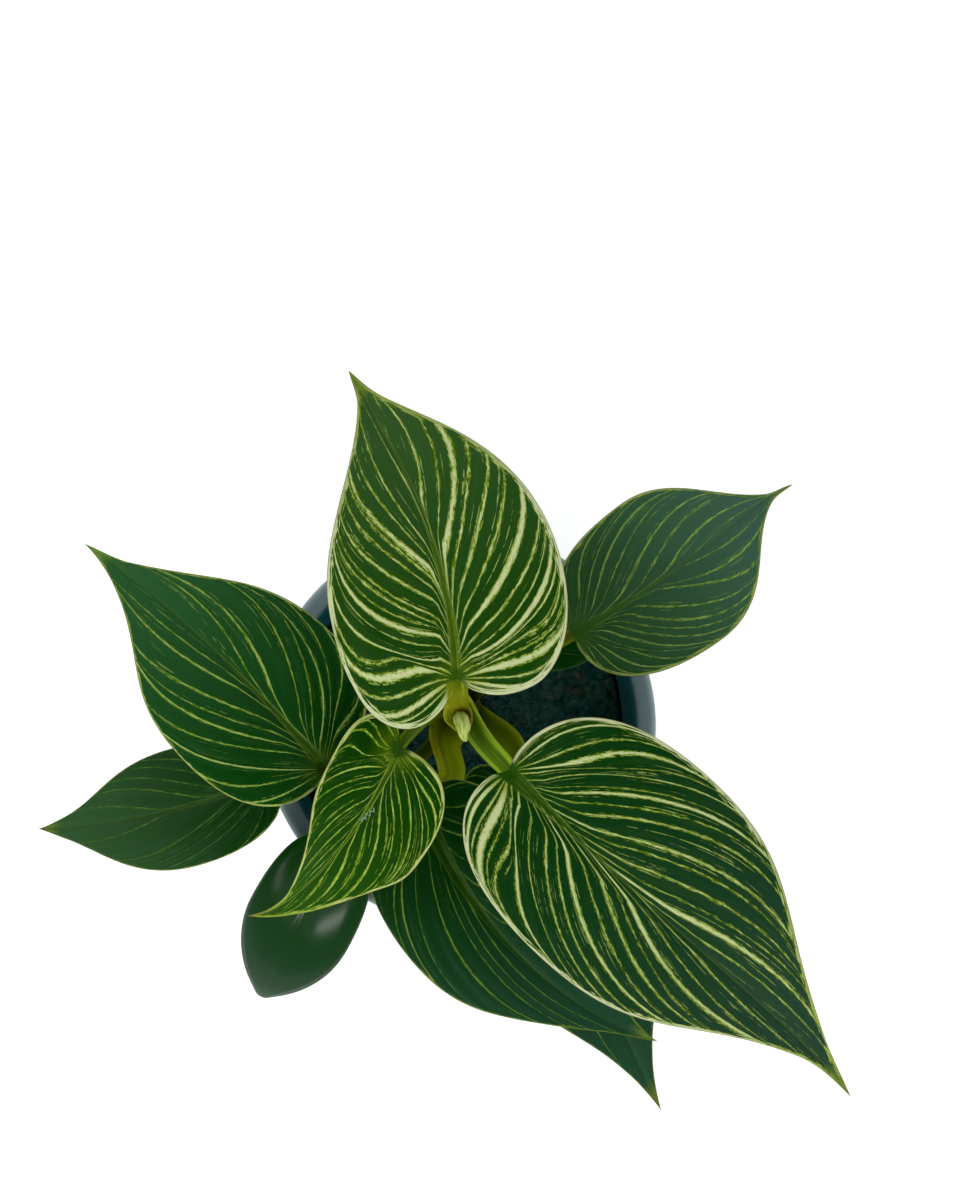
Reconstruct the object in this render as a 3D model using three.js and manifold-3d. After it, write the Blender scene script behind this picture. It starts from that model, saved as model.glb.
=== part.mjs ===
// Philodendron birkin in a round nursery pot. Millimetres, +Z up.
// The origin is the centre of the pot's underside.
import * as THREE from 'three';
import { mergeVertices } from 'three/addons/utils/BufferGeometryUtils.js';
import Module from 'manifold-3d';

const wasm = await Module();
wasm.setup();

// pot and soil
const POT_HEIGHT = 100;
const RIM_RADIUS = 60;
const LIP_WIDTH = 6;
const SKIRT_DEPTH = 13;
const FOOT_RADIUS = 42;
const WALL = 1.6;
const FLOOR = 4.5;
const DRAIN_HOLES = 6;
const DRAIN_RADIUS = 3.5;
const DRAIN_CIRCLE = 27;
const SOIL_LEVEL = 83;
const GAP = 0.3;                        // clearance between seated pieces
const KEEL_GAP = 0.5;                   // between a blade and the keel under its midrib

// plant
const CROWN = [1, 5];                   // where the stem stands
const STEM_RADIUS = 6;
const STEM_FOOT = 58;
const STEM_TOP = 104;
const BLADE_THICKNESS = 0.8;
const RIB_LINES = 17;                   // mesh lines from midrib to margin, on each half
const RIB_STEPS = 5;                    // steps along each line
const FIRST_RIB = 0.05;                 // shares of the margin: the edge beside the sinus
const ACUMEN_RUN = 0.86;                // and where the drawn-out tip begins

const BLADE_GREEN = 0x1f4a2b, YOUNG_GREEN = 0x3f7a2c, OLD_GREEN = 0x1c3f27, STALK_GREEN = 0x8aa63a;

// One row a leaf, youngest first. Angles in degrees: heading turns from +X to +Y, swing bends the
// whole midrib sideways and hook only its end; rise is the slope at the base and droop its loss by
// the tip; fold lifts each half (left, right), arch rolls its margin back down. Back lobe, widest
// place and start of the acumen are shares of the length, shoulder a share of the half width.
// from is [angle round the crown, height] of the stalk's foot, via the points that it passes.
const LEAVES = [
  { name: 'leaf_1', base: [-0.7, 12.4, 163], heading: 92, swing: 38, hook: -11, rise: 24, droop: 44,
    length: 92, halfWidth: 32.3, skew: -0.01, roll: 1, fold: [16, 16], arch: 30, lobe: [0.143, 0.042],
    widest: [0.256, 0.256], acumen: 0.883, shoulder: [0.09, 0.114], ripple: 1.0, color: BLADE_GREEN,
    from: [100, 99], via: [[-0.8, 9.4, 128], [-0.8, 10.2, 148]], stalk: 4.6, sheath: 7.5 },
  { name: 'leaf_2', base: [13.5, -12.5, 158], heading: -45, swing: 8, hook: -16, rise: 10, droop: 42,
    length: 138, halfWidth: 34, skew: 0.083, roll: 8.5, fold: [15.5, 12.5], arch: 26, lobe: [0.002, 0.014],
    widest: [0.29, 0.28], acumen: 0.827, shoulder: [0.16, 0.115], ripple: 1.4, color: BLADE_GREEN,
    from: [0, 99], via: [[6.2, 3.0, 122], [8.9, -4.8, 141]], stalk: 4.6, sheath: 6 },
  { name: 'leaf_3', base: [-16.3, -6.2, 150], heading: -114, swing: -31, hook: -29, rise: 2, droop: 50,
    length: 75, halfWidth: 18.2, skew: 0.12, roll: 2, fold: [18, 18], arch: 22, lobe: [-0.012, 0.086],
    widest: [0.243, 0.103], acumen: 0.735, shoulder: [0.247, 0.107], ripple: 0.8, color: YOUNG_GREEN,
    from: [-160, 99], via: [[-7, 1.2, 124], [-11.8, -2.3, 141]], stalk: 3.6, sheath: 6 },
  { name: 'leaf_4', base: [-37.4, -12.5, 141], heading: 130, swing: 13.5, hook: 5, rise: 8, droop: 30,
    length: 97.5, halfWidth: 27.4, skew: 0.018, roll: 6, fold: [13, 11], arch: 20, lobe: [0.01, -0.015],
    widest: [0.3, 0.238], acumen: 0.838, shoulder: [0.171, 0.115], ripple: 1.2, color: BLADE_GREEN,
    from: [168, 93], via: [[-15, 1.5, 116], [-27, -5.5, 133]], stalk: 4.0, sheath: 6.5 },
  { name: 'leaf_5', base: [32.6, 26, 137], heading: 28, swing: 20, hook: -23, rise: 12, droop: 26,
    length: 77, halfWidth: 24, skew: 0, roll: 0, fold: [10, 10], arch: 16, lobe: [0, -0.012],
    widest: [0.42, 0.43], acumen: 0.889, shoulder: [0.1, 0.07], ripple: 1.0, color: BLADE_GREEN,
    from: [28, 89], via: [[13.5, 13.5, 115], [23, 20, 129]], stalk: 3.8, sheath: 6.5 },
  { name: 'leaf_6', base: [-11.2, -21.8, 134], heading: -69, swing: 48, hook: 0, rise: 0, droop: 34,
    length: 109, halfWidth: 24.6, skew: 0, roll: 1, fold: [12, 12], arch: 26, lobe: [0.025, 0.025],
    widest: [0.272, 0.272], acumen: 0.8, shoulder: [0.141, 0.141], ripple: 1.2, color: BLADE_GREEN,
    from: [-112, 94], via: [[-4.4, -5, 112], [-7.6, -13.6, 125]], stalk: 4.4, sheath: 8 },
  { name: 'leaf_7', base: [-54.8, -15, 122], heading: -157, swing: -21, hook: 0, rise: -4, droop: 22,
    length: 76, halfWidth: 17.6, skew: 0, roll: 1, fold: [8, 8], arch: 18, lobe: [0, 0],
    widest: [0.365, 0.365], acumen: 0.88, shoulder: [0.168, 0.168], ripple: 0.8, color: BLADE_GREEN,
    from: [-175, 88], via: [[-22, -3, 105], [-41, -10.5, 117]], stalk: 3.4, sheath: 5.5 },
  { name: 'leaf_8', base: [17.9, -19, 118], heading: -68.5, swing: 5, hook: 0, rise: -2, droop: 26,
    length: 111, halfWidth: 24.3, skew: 0, roll: -2.5, fold: [10, 10], arch: 22, lobe: [0.1, 0.1],
    widest: [0.36, 0.36], acumen: 0.85, shoulder: [0.162, 0.162], ripple: 1.0, color: BLADE_GREEN,
    from: [-24, 88], via: [[13.4, -1, 100], [19.6, -9.5, 110]], stalk: 4.4, sheath: 7 },
  { name: 'leaf_9', base: [20, 24.5, 113], heading: 30, swing: 0, hook: 0, rise: 0, droop: 24,
    length: 52, halfWidth: 14, skew: 0, roll: 0, fold: [6, 6], arch: 20, lobe: [0.03, 0.03],
    widest: [0.3, 0.3], acumen: 0.86, shoulder: [0.16, 0.16], ripple: 0.6, color: OLD_GREEN,
    from: [82, 88], via: [[6, 16, 99], [13, 20.8, 108]], stalk: 3.0, sheath: 5 },
  { name: 'leaf_10', base: [-34.7, -35.3, 112], heading: -119, swing: 0, hook: 0, rise: -14, droop: 42,
    length: 68, halfWidth: 17.2, skew: 0, roll: -1, fold: [4, 4], arch: 34, lobe: [0.003, 0.003],
    widest: [0.473, 0.473], acumen: 0.94, shoulder: [0.223, 0.223], ripple: 0.4, color: OLD_GREEN,
    from: [-122, 87.5], via: [[-13, -11, 98], [-25, -25.5, 107.5]], stalk: 3.4, sheath: 5.5 },
];

const group = new THREE.Group();
group.name = 'philodendron_birkin';

function addNode(name, geometry, color, roughness) {
  geometry.computeVertexNormals();
  const mesh = new THREE.Mesh(geometry, new THREE.MeshStandardMaterial({ color, roughness, metalness: 0 }));
  mesh.name = name;
  group.add(mesh);
}

// ---- small helpers ----
const { lerp, clamp, degToRad, smoothstep } = THREE.MathUtils;
const vec = (p) => new THREE.Vector3(...p);

function cubic(points, t) {
  const u = 1 - t;
  const w = [u * u * u, 3 * u * u * t, 3 * u * t * t, t * t * t];
  return [0, 1].map((k) => points.reduce((sum, p, i) => sum + w[i] * p[k], 0));
}

function ramp(stops, t) {               // straight runs between [place, value] stops
  let i = 0;
  while (i < stops.length - 2 && t > stops[i + 1][0]) i++;
  const [t0, a] = stops[i], [t1, b] = stops[i + 1];
  return lerp(a, b, clamp((t - t0) / (t1 - t0), 0, 1));
}

function closedMesh(corners) {          // three corners a triangle, shared corners joined
  const geometry = new THREE.BufferGeometry();
  geometry.setAttribute('position', new THREE.Float32BufferAttribute(corners.flatMap((p) => p.toArray()), 3));
  return mergeVertices(geometry, 1e-4);
}

function toManifold(geometry) {
  const bare = new THREE.BufferGeometry();
  bare.setAttribute('position', geometry.getAttribute('position'));
  if (geometry.index) bare.setIndex(geometry.index);
  const merged = mergeVertices(bare, 1e-4);
  return new wasm.Manifold(new wasm.Mesh({
    numProp: 3,
    vertProperties: Float32Array.from(merged.getAttribute('position').array),
    triVerts: Uint32Array.from(merged.index.array),
  }));
}

function fromManifold(solid) {
  const mesh = solid.getMesh();
  const geometry = new THREE.BufferGeometry();
  geometry.setAttribute('position', new THREE.BufferAttribute(Float32Array.from(mesh.vertProperties), 3));
  geometry.setIndex(new THREE.BufferAttribute(Uint32Array.from(mesh.triVerts), 1));
  return geometry;
}

// ring sections joined into a tube and closed by a fan at each end
function skin(rings) {
  const corners = [];
  const n = rings[0].length;
  for (let i = 0; i < rings.length - 1; i++) {
    for (let j = 0; j < n; j++) {
      const k = (j + 1) % n;
      const [a, b, c, d] = [rings[i][j], rings[i][k], rings[i + 1][k], rings[i + 1][j]];
      corners.push(a, b, c, a, c, d);
    }
  }
  for (const [ring, flip] of [[rings[0], true], [rings[rings.length - 1], false]]) {
    const middle = ring.reduce((sum, p) => sum.add(p), new THREE.Vector3()).divideScalar(n);
    for (let j = 0; j < n; j++) {
      const k = (j + 1) % n;
      corners.push(middle, flip ? ring[k] : ring[j], flip ? ring[j] : ring[k]);
    }
  }
  return closedMesh(corners);
}

// ---- pot ----
const wallRadius = (z) => lerp(FOOT_RADIUS, RIM_RADIUS - LIP_WIDTH + 0.4, z / 96);
{
  const skirtFoot = POT_HEIGHT - SKIRT_DEPTH;
  const profile = [
    [0, 0], [18, 0], [20, 2.5], [33, 2.5], [35, 0], [FOOT_RADIUS - 1.4, 0], [FOOT_RADIUS + 0.1, 1.4],
    [wallRadius(48), 48], [wallRadius(94), 94], [55.3, 97], [57.3, 97.4], [58.3, 96.2],
    [57.9, skirtFoot + 0.6], [58.6, skirtFoot], [59.3, skirtFoot + 0.5], [RIM_RADIUS, 96.5],
    [RIM_RADIUS - 0.3, 98.6], [RIM_RADIUS - 1.4, 99.8], [RIM_RADIUS - 2.6, POT_HEIGHT],
    [RIM_RADIUS - LIP_WIDTH + 1.2, POT_HEIGHT - 0.1], [RIM_RADIUS - LIP_WIDTH, 99.2],
    [wallRadius(96) - WALL, 96.8], [wallRadius(48) - WALL, 48], [wallRadius(8) - WALL, 8],
    [wallRadius(5.2) - WALL - 1.2, 5.2], [38, FLOOR], [0, FLOOR],
  ];
  const lathe = new THREE.LatheGeometry(profile.map(([r, z]) => new THREE.Vector2(r, z)), 56);
  lathe.rotateX(Math.PI / 2);
  let pot = toManifold(lathe);
  for (let i = 0; i < DRAIN_HOLES; i++) {
    const drill = new THREE.CylinderGeometry(DRAIN_RADIUS, DRAIN_RADIUS, 12, 16);
    drill.rotateX(Math.PI / 2);
    const angle = (i + 0.5) * 2 * Math.PI / DRAIN_HOLES;
    drill.translate(DRAIN_CIRCLE * Math.cos(angle), DRAIN_CIRCLE * Math.sin(angle), 3);
    pot = pot.subtract(toManifold(drill));
  }
  addNode('pot', fromManifold(pot), 0x3c4852, 0.5);
}

// ---- soil: fills the pot, lumpy on top, with a plain hole for the stem ----
function soilHeight(x, y) {
  const lumps = 1.0 * Math.sin(0.2 * x + 1.1) * Math.cos(0.17 * y - 0.6)
    + 0.6 * Math.sin(0.3 * x - 0.25 * y + 2.0) + 0.4 * Math.cos(0.36 * y + 0.24 * x);
  const sink = Math.hypot(x - CROWN[0], y - CROWN[1]) < 14 ? 0.4 : 1;
  return SOIL_LEVEL + sink * lumps;
}
{
  const around = 52;
  const radii = [9, 14, 19, 24.5, 30, 35.5, 41, 46, 50.2];
  const rings = radii.map((r) => Array.from({ length: around }, (_, j) => {
    const a = j / around * 2 * Math.PI;
    const [x, y] = [r * Math.cos(a), r * Math.sin(a)];
    return new THREE.Vector3(x, y, soilHeight(x, y));
  }));
  const level = (r, z) => Array.from({ length: around }, (_, j) => {
    const a = j / around * 2 * Math.PI;
    return new THREE.Vector3(r * Math.cos(a), r * Math.sin(a), z);
  });
  const foot = FLOOR + GAP;
  const body = [level(37, foot), level(wallRadius(8) - WALL - 1.6, 8.4), level(wallRadius(48) - WALL - GAP, 48),
    level(wallRadius(79) - WALL - GAP, 79), ...rings.reverse()];
  const hole = new THREE.CylinderGeometry(STEM_RADIUS + GAP, STEM_RADIUS + GAP, 60, 20);
  hole.rotateX(Math.PI / 2);
  hole.translate(CROWN[0], CROWN[1], STEM_FOOT - GAP + 30);
  addNode('soil', fromManifold(toManifold(skin(body)).subtract(toManifold(hole))), 0x2c221b, 0.95);
}

// ---- stem: a short trunk with the rings of shed leaves ----
const stemRadius = (z) => ramp([[STEM_FOOT, STEM_RADIUS], [86, STEM_RADIUS], [94, 4.9], [100, 3.3],
  [STEM_TOP, 1.4]], z);
{
  const heights = [STEM_FOOT, 72, 82, 85.2, 86, 88.4, 89.2, 92, 92.8, 96, 100, 102.5, STEM_TOP];
  addNode('stem', skin(heights.map((z, i) => Array.from({ length: 16 }, (_, j) => {
    const a = j / 16 * 2 * Math.PI;
    const r = stemRadius(z) - (i > 2 && i % 2 === 0 ? 0.25 : 0);
    return new THREE.Vector3(CROWN[0] + r * Math.cos(a), CROWN[1] + r * Math.sin(a), z);
  }))), 0x6d7a34, 0.6);
}

// ---- bud: the next leaf, still rolled into a spear ----
{
  const line = new THREE.CatmullRomCurve3([[1, 4.9, STEM_TOP + GAP], [0.7, 4, 122], [0.4, 3, 138],
    [0.7, 0.2, 147], [1.3, -2.8, 150.4], [2.4, -4.4, 151.2]].map(vec));
  const girth = [[0, 1.2], [0.35, 2.0], [0.62, 2.3], [0.8, 1.8], [0.92, 1.15], [1, 0.45]];
  const steps = 14;
  const { normals, binormals } = line.computeFrenetFrames(steps);
  addNode('bud', skin(Array.from({ length: steps + 1 }, (_, i) => {
    const middle = line.getPointAt(i / steps);
    const r = ramp(girth, i / steps);
    return Array.from({ length: 10 }, (_, j) => {
      const a = j / 10 * 2 * Math.PI;
      return middle.clone().addScaledVector(normals[i], r * Math.cos(a))
        .addScaledVector(binormals[i], r * Math.sin(a));
    });
  })), 0xd5dfa6, 0.45);
}

// ---- leaf blade ----
// share of the margin that goes round the back lobe, up to the widest place
const lobeRun = (widest) => 0.18 + 0.6 * widest;

// margin of one half in the leaf's own plane: x along the midrib, y out from it
function margin(leaf, half, s) {
  const { acumen } = leaf;
  const [lobe, widest, shoulder] = [leaf.lobe[half], leaf.widest[half], leaf.shoulder[half]];
  const back = -(lobe + 0.064 * widest) / 0.72;
  const draw = (1 - acumen) / 0.14;
  const tail = 1 - acumen;
  const run = lobeRun(widest);
  let p;
  if (s < run) {
    p = cubic([[0, 0], [back, 0.2], [back, 1], [widest, 1]], s / run);
  } else if (s < ACUMEN_RUN) {
    p = cubic([[widest, 1], [lerp(widest, acumen, 0.5), 1],
      [acumen - 0.22 * draw, shoulder + 0.336 * draw], [acumen, shoulder]],
    (s - run) / (ACUMEN_RUN - run));
  } else {
    p = cubic([[acumen, shoulder], [acumen + 0.3 * tail, shoulder - Math.min(0.458 * tail, 0.8 * shoulder)],
      [acumen + 0.7 * tail, 0.03], [1, 0]], (s - ACUMEN_RUN) / (1 - ACUMEN_RUN));
  }
  const width = leaf.halfWidth * (1 + (half ? -1 : 1) * leaf.skew);
  return [p[0] * leaf.length, p[1] * width];
}

// point on the rib that ends at s on the margin; the ribs of the back half fan from the base
function ribPoint(leaf, half, s, v) {
  const fan = lobeRun(Math.max(...leaf.widest)) + 0.05;
  const along = leaf.length * clamp((s - fan) / (1 - fan), 0, 1) ** 2;
  const root = Math.round(along * 5) / 5;               // no sliver where the fan ends
  const [x, y] = margin(leaf, half, s);
  return [lerp(root, x, v), y * v];
}

// midrib as a run of frames: place m, tangent t, sideways s (left), up n
function spine(leaf) {
  const steps = 60;
  const frames = [];
  const place = vec(leaf.base);
  let last = null;
  for (let i = 0; i <= steps; i++) {
    const g = i / steps;
    const h = degToRad(leaf.heading + leaf.swing * g + leaf.hook * g ** 5);
    const e = degToRad(leaf.rise - leaf.droop * g ** 1.3);
    const t = new THREE.Vector3(Math.cos(e) * Math.cos(h), Math.cos(e) * Math.sin(h), Math.sin(e));
    if (last) place.addScaledVector(last.clone().add(t), leaf.length / steps / 2);
    const side = new THREE.Vector3(-Math.sin(h), Math.cos(h), 0);
    const up = t.clone().cross(side);
    const roll = degToRad(leaf.roll);
    frames.push({
      m: place.clone(), t,
      s: side.clone().multiplyScalar(Math.cos(roll)).addScaledVector(up, Math.sin(roll)),
      n: up.clone().multiplyScalar(Math.cos(roll)).addScaledVector(side, -Math.sin(roll)),
    });
    last = t;
  }
  return (x) => {
    const at = clamp(x / leaf.length, 0, 1) * steps;
    const i = Math.min(Math.floor(at), steps - 1);
    const [a, b] = [frames[i], frames[i + 1]];
    const frame = {};
    for (const key of ['m', 't', 's', 'n']) frame[key] = a[key].clone().lerp(b[key], at - i);
    if (x < 0) frame.m.addScaledVector(frame.t, x);
    return frame;
  };
}

// leaf plane to space; lift moves the point along the blade's up direction
function onBlade(leaf, frameAt, half, x, y, lift) {
  const { m, s, n } = frameAt(x);
  const f = degToRad(leaf.fold[half]);
  const k = degToRad(leaf.arch) / leaf.halfWidth;
  const out = (Math.sin(f) - Math.sin(f - k * y)) / k;
  const up = (Math.cos(f - k * y) - Math.cos(f)) / k;
  return m.addScaledVector(s, (half ? -1 : 1) * out).addScaledVector(n, up + lift);
}

function blade(leaf, frameAt, order) {
  const point = (half, i, j, face) => {
    const s = lerp(FIRST_RIB, 1, i / RIB_LINES);
    const [x, y] = i === RIB_LINES ? [leaf.length, 0] : ribPoint(leaf, half, s, j / RIB_STEPS);
    const wave = leaf.ripple * (y / leaf.halfWidth) ** 2 * Math.sin(8.4 * x / leaf.length + 2.1 * half + order);
    return onBlade(leaf, frameAt, half, x, y, wave + face * BLADE_THICKNESS / 2);
  };
  const corners = [];
  for (const half of [0, 1]) {
    const put = (a, b, c, flip) => {
      if (a.distanceTo(b) < 1e-3 || b.distanceTo(c) < 1e-3 || c.distanceTo(a) < 1e-3) return;
      if (flip !== (half === 1)) corners.push(a, c, b); else corners.push(a, b, c);
    };
    for (const face of [1, -1]) {
      for (let i = 0; i < RIB_LINES; i++) {
        for (let j = 0; j < RIB_STEPS; j++) {
          const [a, b, c, d] = [[i, j], [i + 1, j], [i + 1, j + 1], [i, j + 1]]
            .map(([p, q]) => point(half, p, q, face));
          put(a, b, c, face < 0);
          put(a, c, d, face < 0);
        }
      }
    }
    const edge = [];
    for (let j = 0; j < RIB_STEPS; j++) edge.push([0, j]);
    for (let i = 0; i <= RIB_LINES; i++) edge.push([i, RIB_STEPS]);
    edge.reverse();
    for (let i = 0; i < edge.length - 1; i++) {
      const [pt, pb] = [point(half, ...edge[i], 1), point(half, ...edge[i], -1)];
      const [qt, qb] = [point(half, ...edge[i + 1], 1), point(half, ...edge[i + 1], -1)];
      put(pt, pb, qb, false);
      put(pt, qb, qt, false);
    }
  }
  return closedMesh(corners);
}

// ---- leaf stalk: a sheathing foot, a channelled stalk, then the midrib's keel under the blade ----
function stalk(leaf, frameAt) {
  const under = (x, depth, drop = 0) => {
    const { m, n } = frameAt(x);
    return m.addScaledVector(n, -(BLADE_THICKNESS / 2 + KEEL_GAP + depth / 2 + drop));
  };
  const [angle, z] = [degToRad(leaf.from[0]), leaf.from[1]];
  const reach = stemRadius(z) + GAP;
  const outward = new THREE.Vector3(Math.cos(angle), Math.sin(angle), 0);
  const foot = new THREE.Vector3(CROWN[0], CROWN[1], z).addScaledVector(outward, reach);
  const w = leaf.stalk;
  // [place, width, depth, channel]
  const stations = [
    [foot, leaf.sheath, 2.4, 0.5],
    [vec(leaf.via[0]), lerp(leaf.sheath, w, 0.45), w * 0.85, 0.35],
    [vec(leaf.via[1]), w, w * 0.85, 0.22],
    [under(-1.5, w * 0.8, 0.9), w * 0.86, w * 0.74, 0.1],
    [under(0.07 * leaf.length, 1.9), w * 0.66, 1.7, 0],
    [under(0.3 * leaf.length, 1.3), w * 0.45, 1.2, 0],
    [under(0.52 * leaf.length, 1.0), w * 0.32, 0.9, 0],
    [under(0.72 * leaf.length, 0.7), 0.9, 0.6, 0],
  ];
  const line = new THREE.CatmullRomCurve3(stations.map((st) => st[0]), false, 'centripetal');
  const last = stations.length - 1;
  const steps = 20;
  const bladeUp = frameAt(0).n;
  return skin(Array.from({ length: steps + 1 }, (_, i) => {
    const t = i / steps;
    const middle = line.getPoint(t);
    const tangent = line.getTangent(t);
    const at = Math.min(Math.floor(t * last), last - 1);
    const [width, depth, channel] = [1, 2, 3].map((k) => lerp(stations[at][k], stations[at + 1][k], t * last - at));
    const up = outward.clone().negate().lerp(bladeUp, smoothstep(t * last, 0.5, 3));
    up.addScaledVector(tangent, -up.dot(tangent)).normalize();
    const side = up.clone().cross(tangent).normalize();
    const belly = 6;
    return Array.from({ length: 10 }, (_, j) => {
      const turn = j <= belly ? Math.PI * (1 + j / belly) : Math.PI * (j - belly) / 4;
      const [cx, cy] = [Math.cos(turn), Math.sin(turn)];
      const rise = cy > 0.05 ? cy * (0.5 - channel * 1.1) : cy * 0.5;
      return middle.clone().addScaledVector(side, cx * width / 2).addScaledVector(up, rise * depth);
    });
  }));
}

LEAVES.forEach((leaf, order) => {
  const frameAt = spine(leaf);
  addNode(`${leaf.name}_blade`, blade(leaf, frameAt, order), leaf.color, 0.4);
  addNode(`${leaf.name}_stalk`, stalk(leaf, frameAt), STALK_GREEN, 0.5);
});

export default group;
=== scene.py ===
# Philodendron birkin in a round nursery pot: leaves, stalks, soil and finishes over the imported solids
import math
import random

import bpy
import numpy as np
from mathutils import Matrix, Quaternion, Vector, noise


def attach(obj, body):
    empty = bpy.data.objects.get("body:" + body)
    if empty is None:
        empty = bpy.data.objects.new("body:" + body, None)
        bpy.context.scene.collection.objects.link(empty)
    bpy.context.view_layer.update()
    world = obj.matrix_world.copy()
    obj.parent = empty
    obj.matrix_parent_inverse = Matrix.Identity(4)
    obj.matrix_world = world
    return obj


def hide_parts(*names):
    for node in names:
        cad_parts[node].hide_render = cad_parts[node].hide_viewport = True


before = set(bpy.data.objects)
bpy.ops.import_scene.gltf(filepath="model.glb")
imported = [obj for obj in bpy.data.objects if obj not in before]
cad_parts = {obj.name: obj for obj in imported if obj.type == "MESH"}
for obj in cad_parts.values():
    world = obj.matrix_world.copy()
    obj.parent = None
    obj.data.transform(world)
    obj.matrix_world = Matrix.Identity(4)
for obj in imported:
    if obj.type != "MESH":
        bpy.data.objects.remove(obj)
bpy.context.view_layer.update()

mm = 0.001
scene = bpy.context.scene

# camera: looks almost straight down on the plant; distances in metres
view = {
    "height": 0.7,                          # above the table
    "lens": 59.25,
    "potCentre": (-20.7, -124.9, -1975.0),  # where the pot's axis is seen: right, up, away
}
bpy.ops.object.select_all(action="DESELECT")
bpy.ops.object.camera_add(location=(0, 0, view["height"]))
camera = bpy.context.object
camera.name = "camera"
camera.data.lens = view["lens"]
camera.data.clip_end = 20
camera.rotation_mode = "QUATERNION"
camera.rotation_quaternion = Vector(view["potCentre"]).rotation_difference(Vector((0, 0, -1)))
scene.camera = camera
print("camera set")


# small helpers
def deselect():
    bpy.ops.object.select_all(action="DESELECT")


def selectOnly(piece):
    if bpy.context.object and bpy.context.object.mode != "OBJECT":
        bpy.ops.object.mode_set(mode="OBJECT")
    deselect()
    piece.select_set(True)
    bpy.context.view_layer.objects.active = piece


def newPiece(name):
    piece = bpy.context.object              # the primitive that was just added
    piece.name = name
    piece.data.name = name
    return piece


def newSheet(name, across, along):
    # a grid of faces, with the place of each point on it, 0 to 1 across and along
    deselect()
    bpy.ops.mesh.primitive_grid_add(x_subdivisions=across, y_subdivisions=along, size=2)
    piece = newPiece(name)
    piece.data.uv_layers[0].name = "veins"
    flat = (places(piece.data) + 1) / 2
    return piece, flat[:, 0], flat[:, 1]


def settle(piece, node, slotName, *materials, sharp=None):
    # place goes into the mesh, edges sharper than the angle stay sharp, then the piece joins the model
    selectOnly(piece)
    bpy.ops.object.transform_apply(location=True, rotation=True, scale=True)
    if sharp:
        bpy.ops.object.shade_smooth_by_angle(angle=math.radians(sharp))
    piece.data.materials.clear()
    for material in materials:
        piece.data.materials.append(material)
    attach(piece, "root")
    if node:
        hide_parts(node)


def applyModifier(piece, kind, **settings):
    selectOnly(piece)
    modifier = piece.modifiers.new(kind.title(), kind)
    for key, value in settings.items():
        setattr(modifier, key, value)
    bpy.ops.object.modifier_apply(modifier=modifier.name)


def mergeClose(piece, apart=0.002):
    # merges the points that are no further apart than this, in mm
    selectOnly(piece)
    bpy.ops.object.mode_set(mode="EDIT")
    bpy.ops.mesh.select_all(action="SELECT")
    bpy.ops.mesh.remove_doubles(threshold=apart * mm)
    bpy.ops.object.mode_set(mode="OBJECT")


def faceOutward(piece, fillEnds=False):
    selectOnly(piece)
    bpy.ops.object.mode_set(mode="EDIT")
    if fillEnds:
        bpy.ops.mesh.select_all(action="DESELECT")
        bpy.ops.mesh.select_non_manifold()
        bpy.ops.mesh.fill_holes(sides=0)
    bpy.ops.mesh.select_all(action="SELECT")
    bpy.ops.mesh.normals_make_consistent(inside=False)
    bpy.ops.object.mode_set(mode="OBJECT")


def places(mesh):
    co = np.zeros(len(mesh.vertices) * 3, np.float64)
    mesh.vertices.foreach_get("co", co)
    return co.reshape(-1, 3)


def putPlaces(mesh, co):
    mesh.vertices.foreach_set("co", np.ascontiguousarray(co, np.float64).ravel())
    mesh.update()


def putPoints(mesh, name, data):
    # a named value or vector for each point, for the finishes to read
    data = np.asarray(data, np.float32)
    kind, field = ("FLOAT_VECTOR", "vector") if data.ndim > 1 else ("FLOAT", "value")
    mesh.attributes.new(name, kind, "POINT").data.foreach_set(field, data.ravel())


def unit(a):
    return a / np.maximum(np.linalg.norm(a, axis=-1, keepdims=True), 1e-12)


def smoothStep(x, low, high):
    x = np.clip((np.asarray(x, float) - low) / (high - low), 0, 1)
    return x * x * (3 - 2 * x)


class Wire:
    # an output of a node; arithmetic on it adds the nodes for it
    def __init__(self, paint, socket):
        self.paint, self.socket = paint, socket

    def __add__(self, other):
        return self.paint.calc("ADD", self, other)

    def __sub__(self, other):
        return self.paint.calc("SUBTRACT", self, other)

    def __rsub__(self, other):
        return self.paint.calc("SUBTRACT", other, self)

    def __mul__(self, other):
        return self.paint.calc("MULTIPLY", self, other)

    def __truediv__(self, other):
        return self.paint.calc("DIVIDE", self, other)

    def __pow__(self, other):
        return self.paint.calc("POWER", self, other)

    def __abs__(self):
        return self.paint.calc("ABSOLUTE", self)


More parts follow.
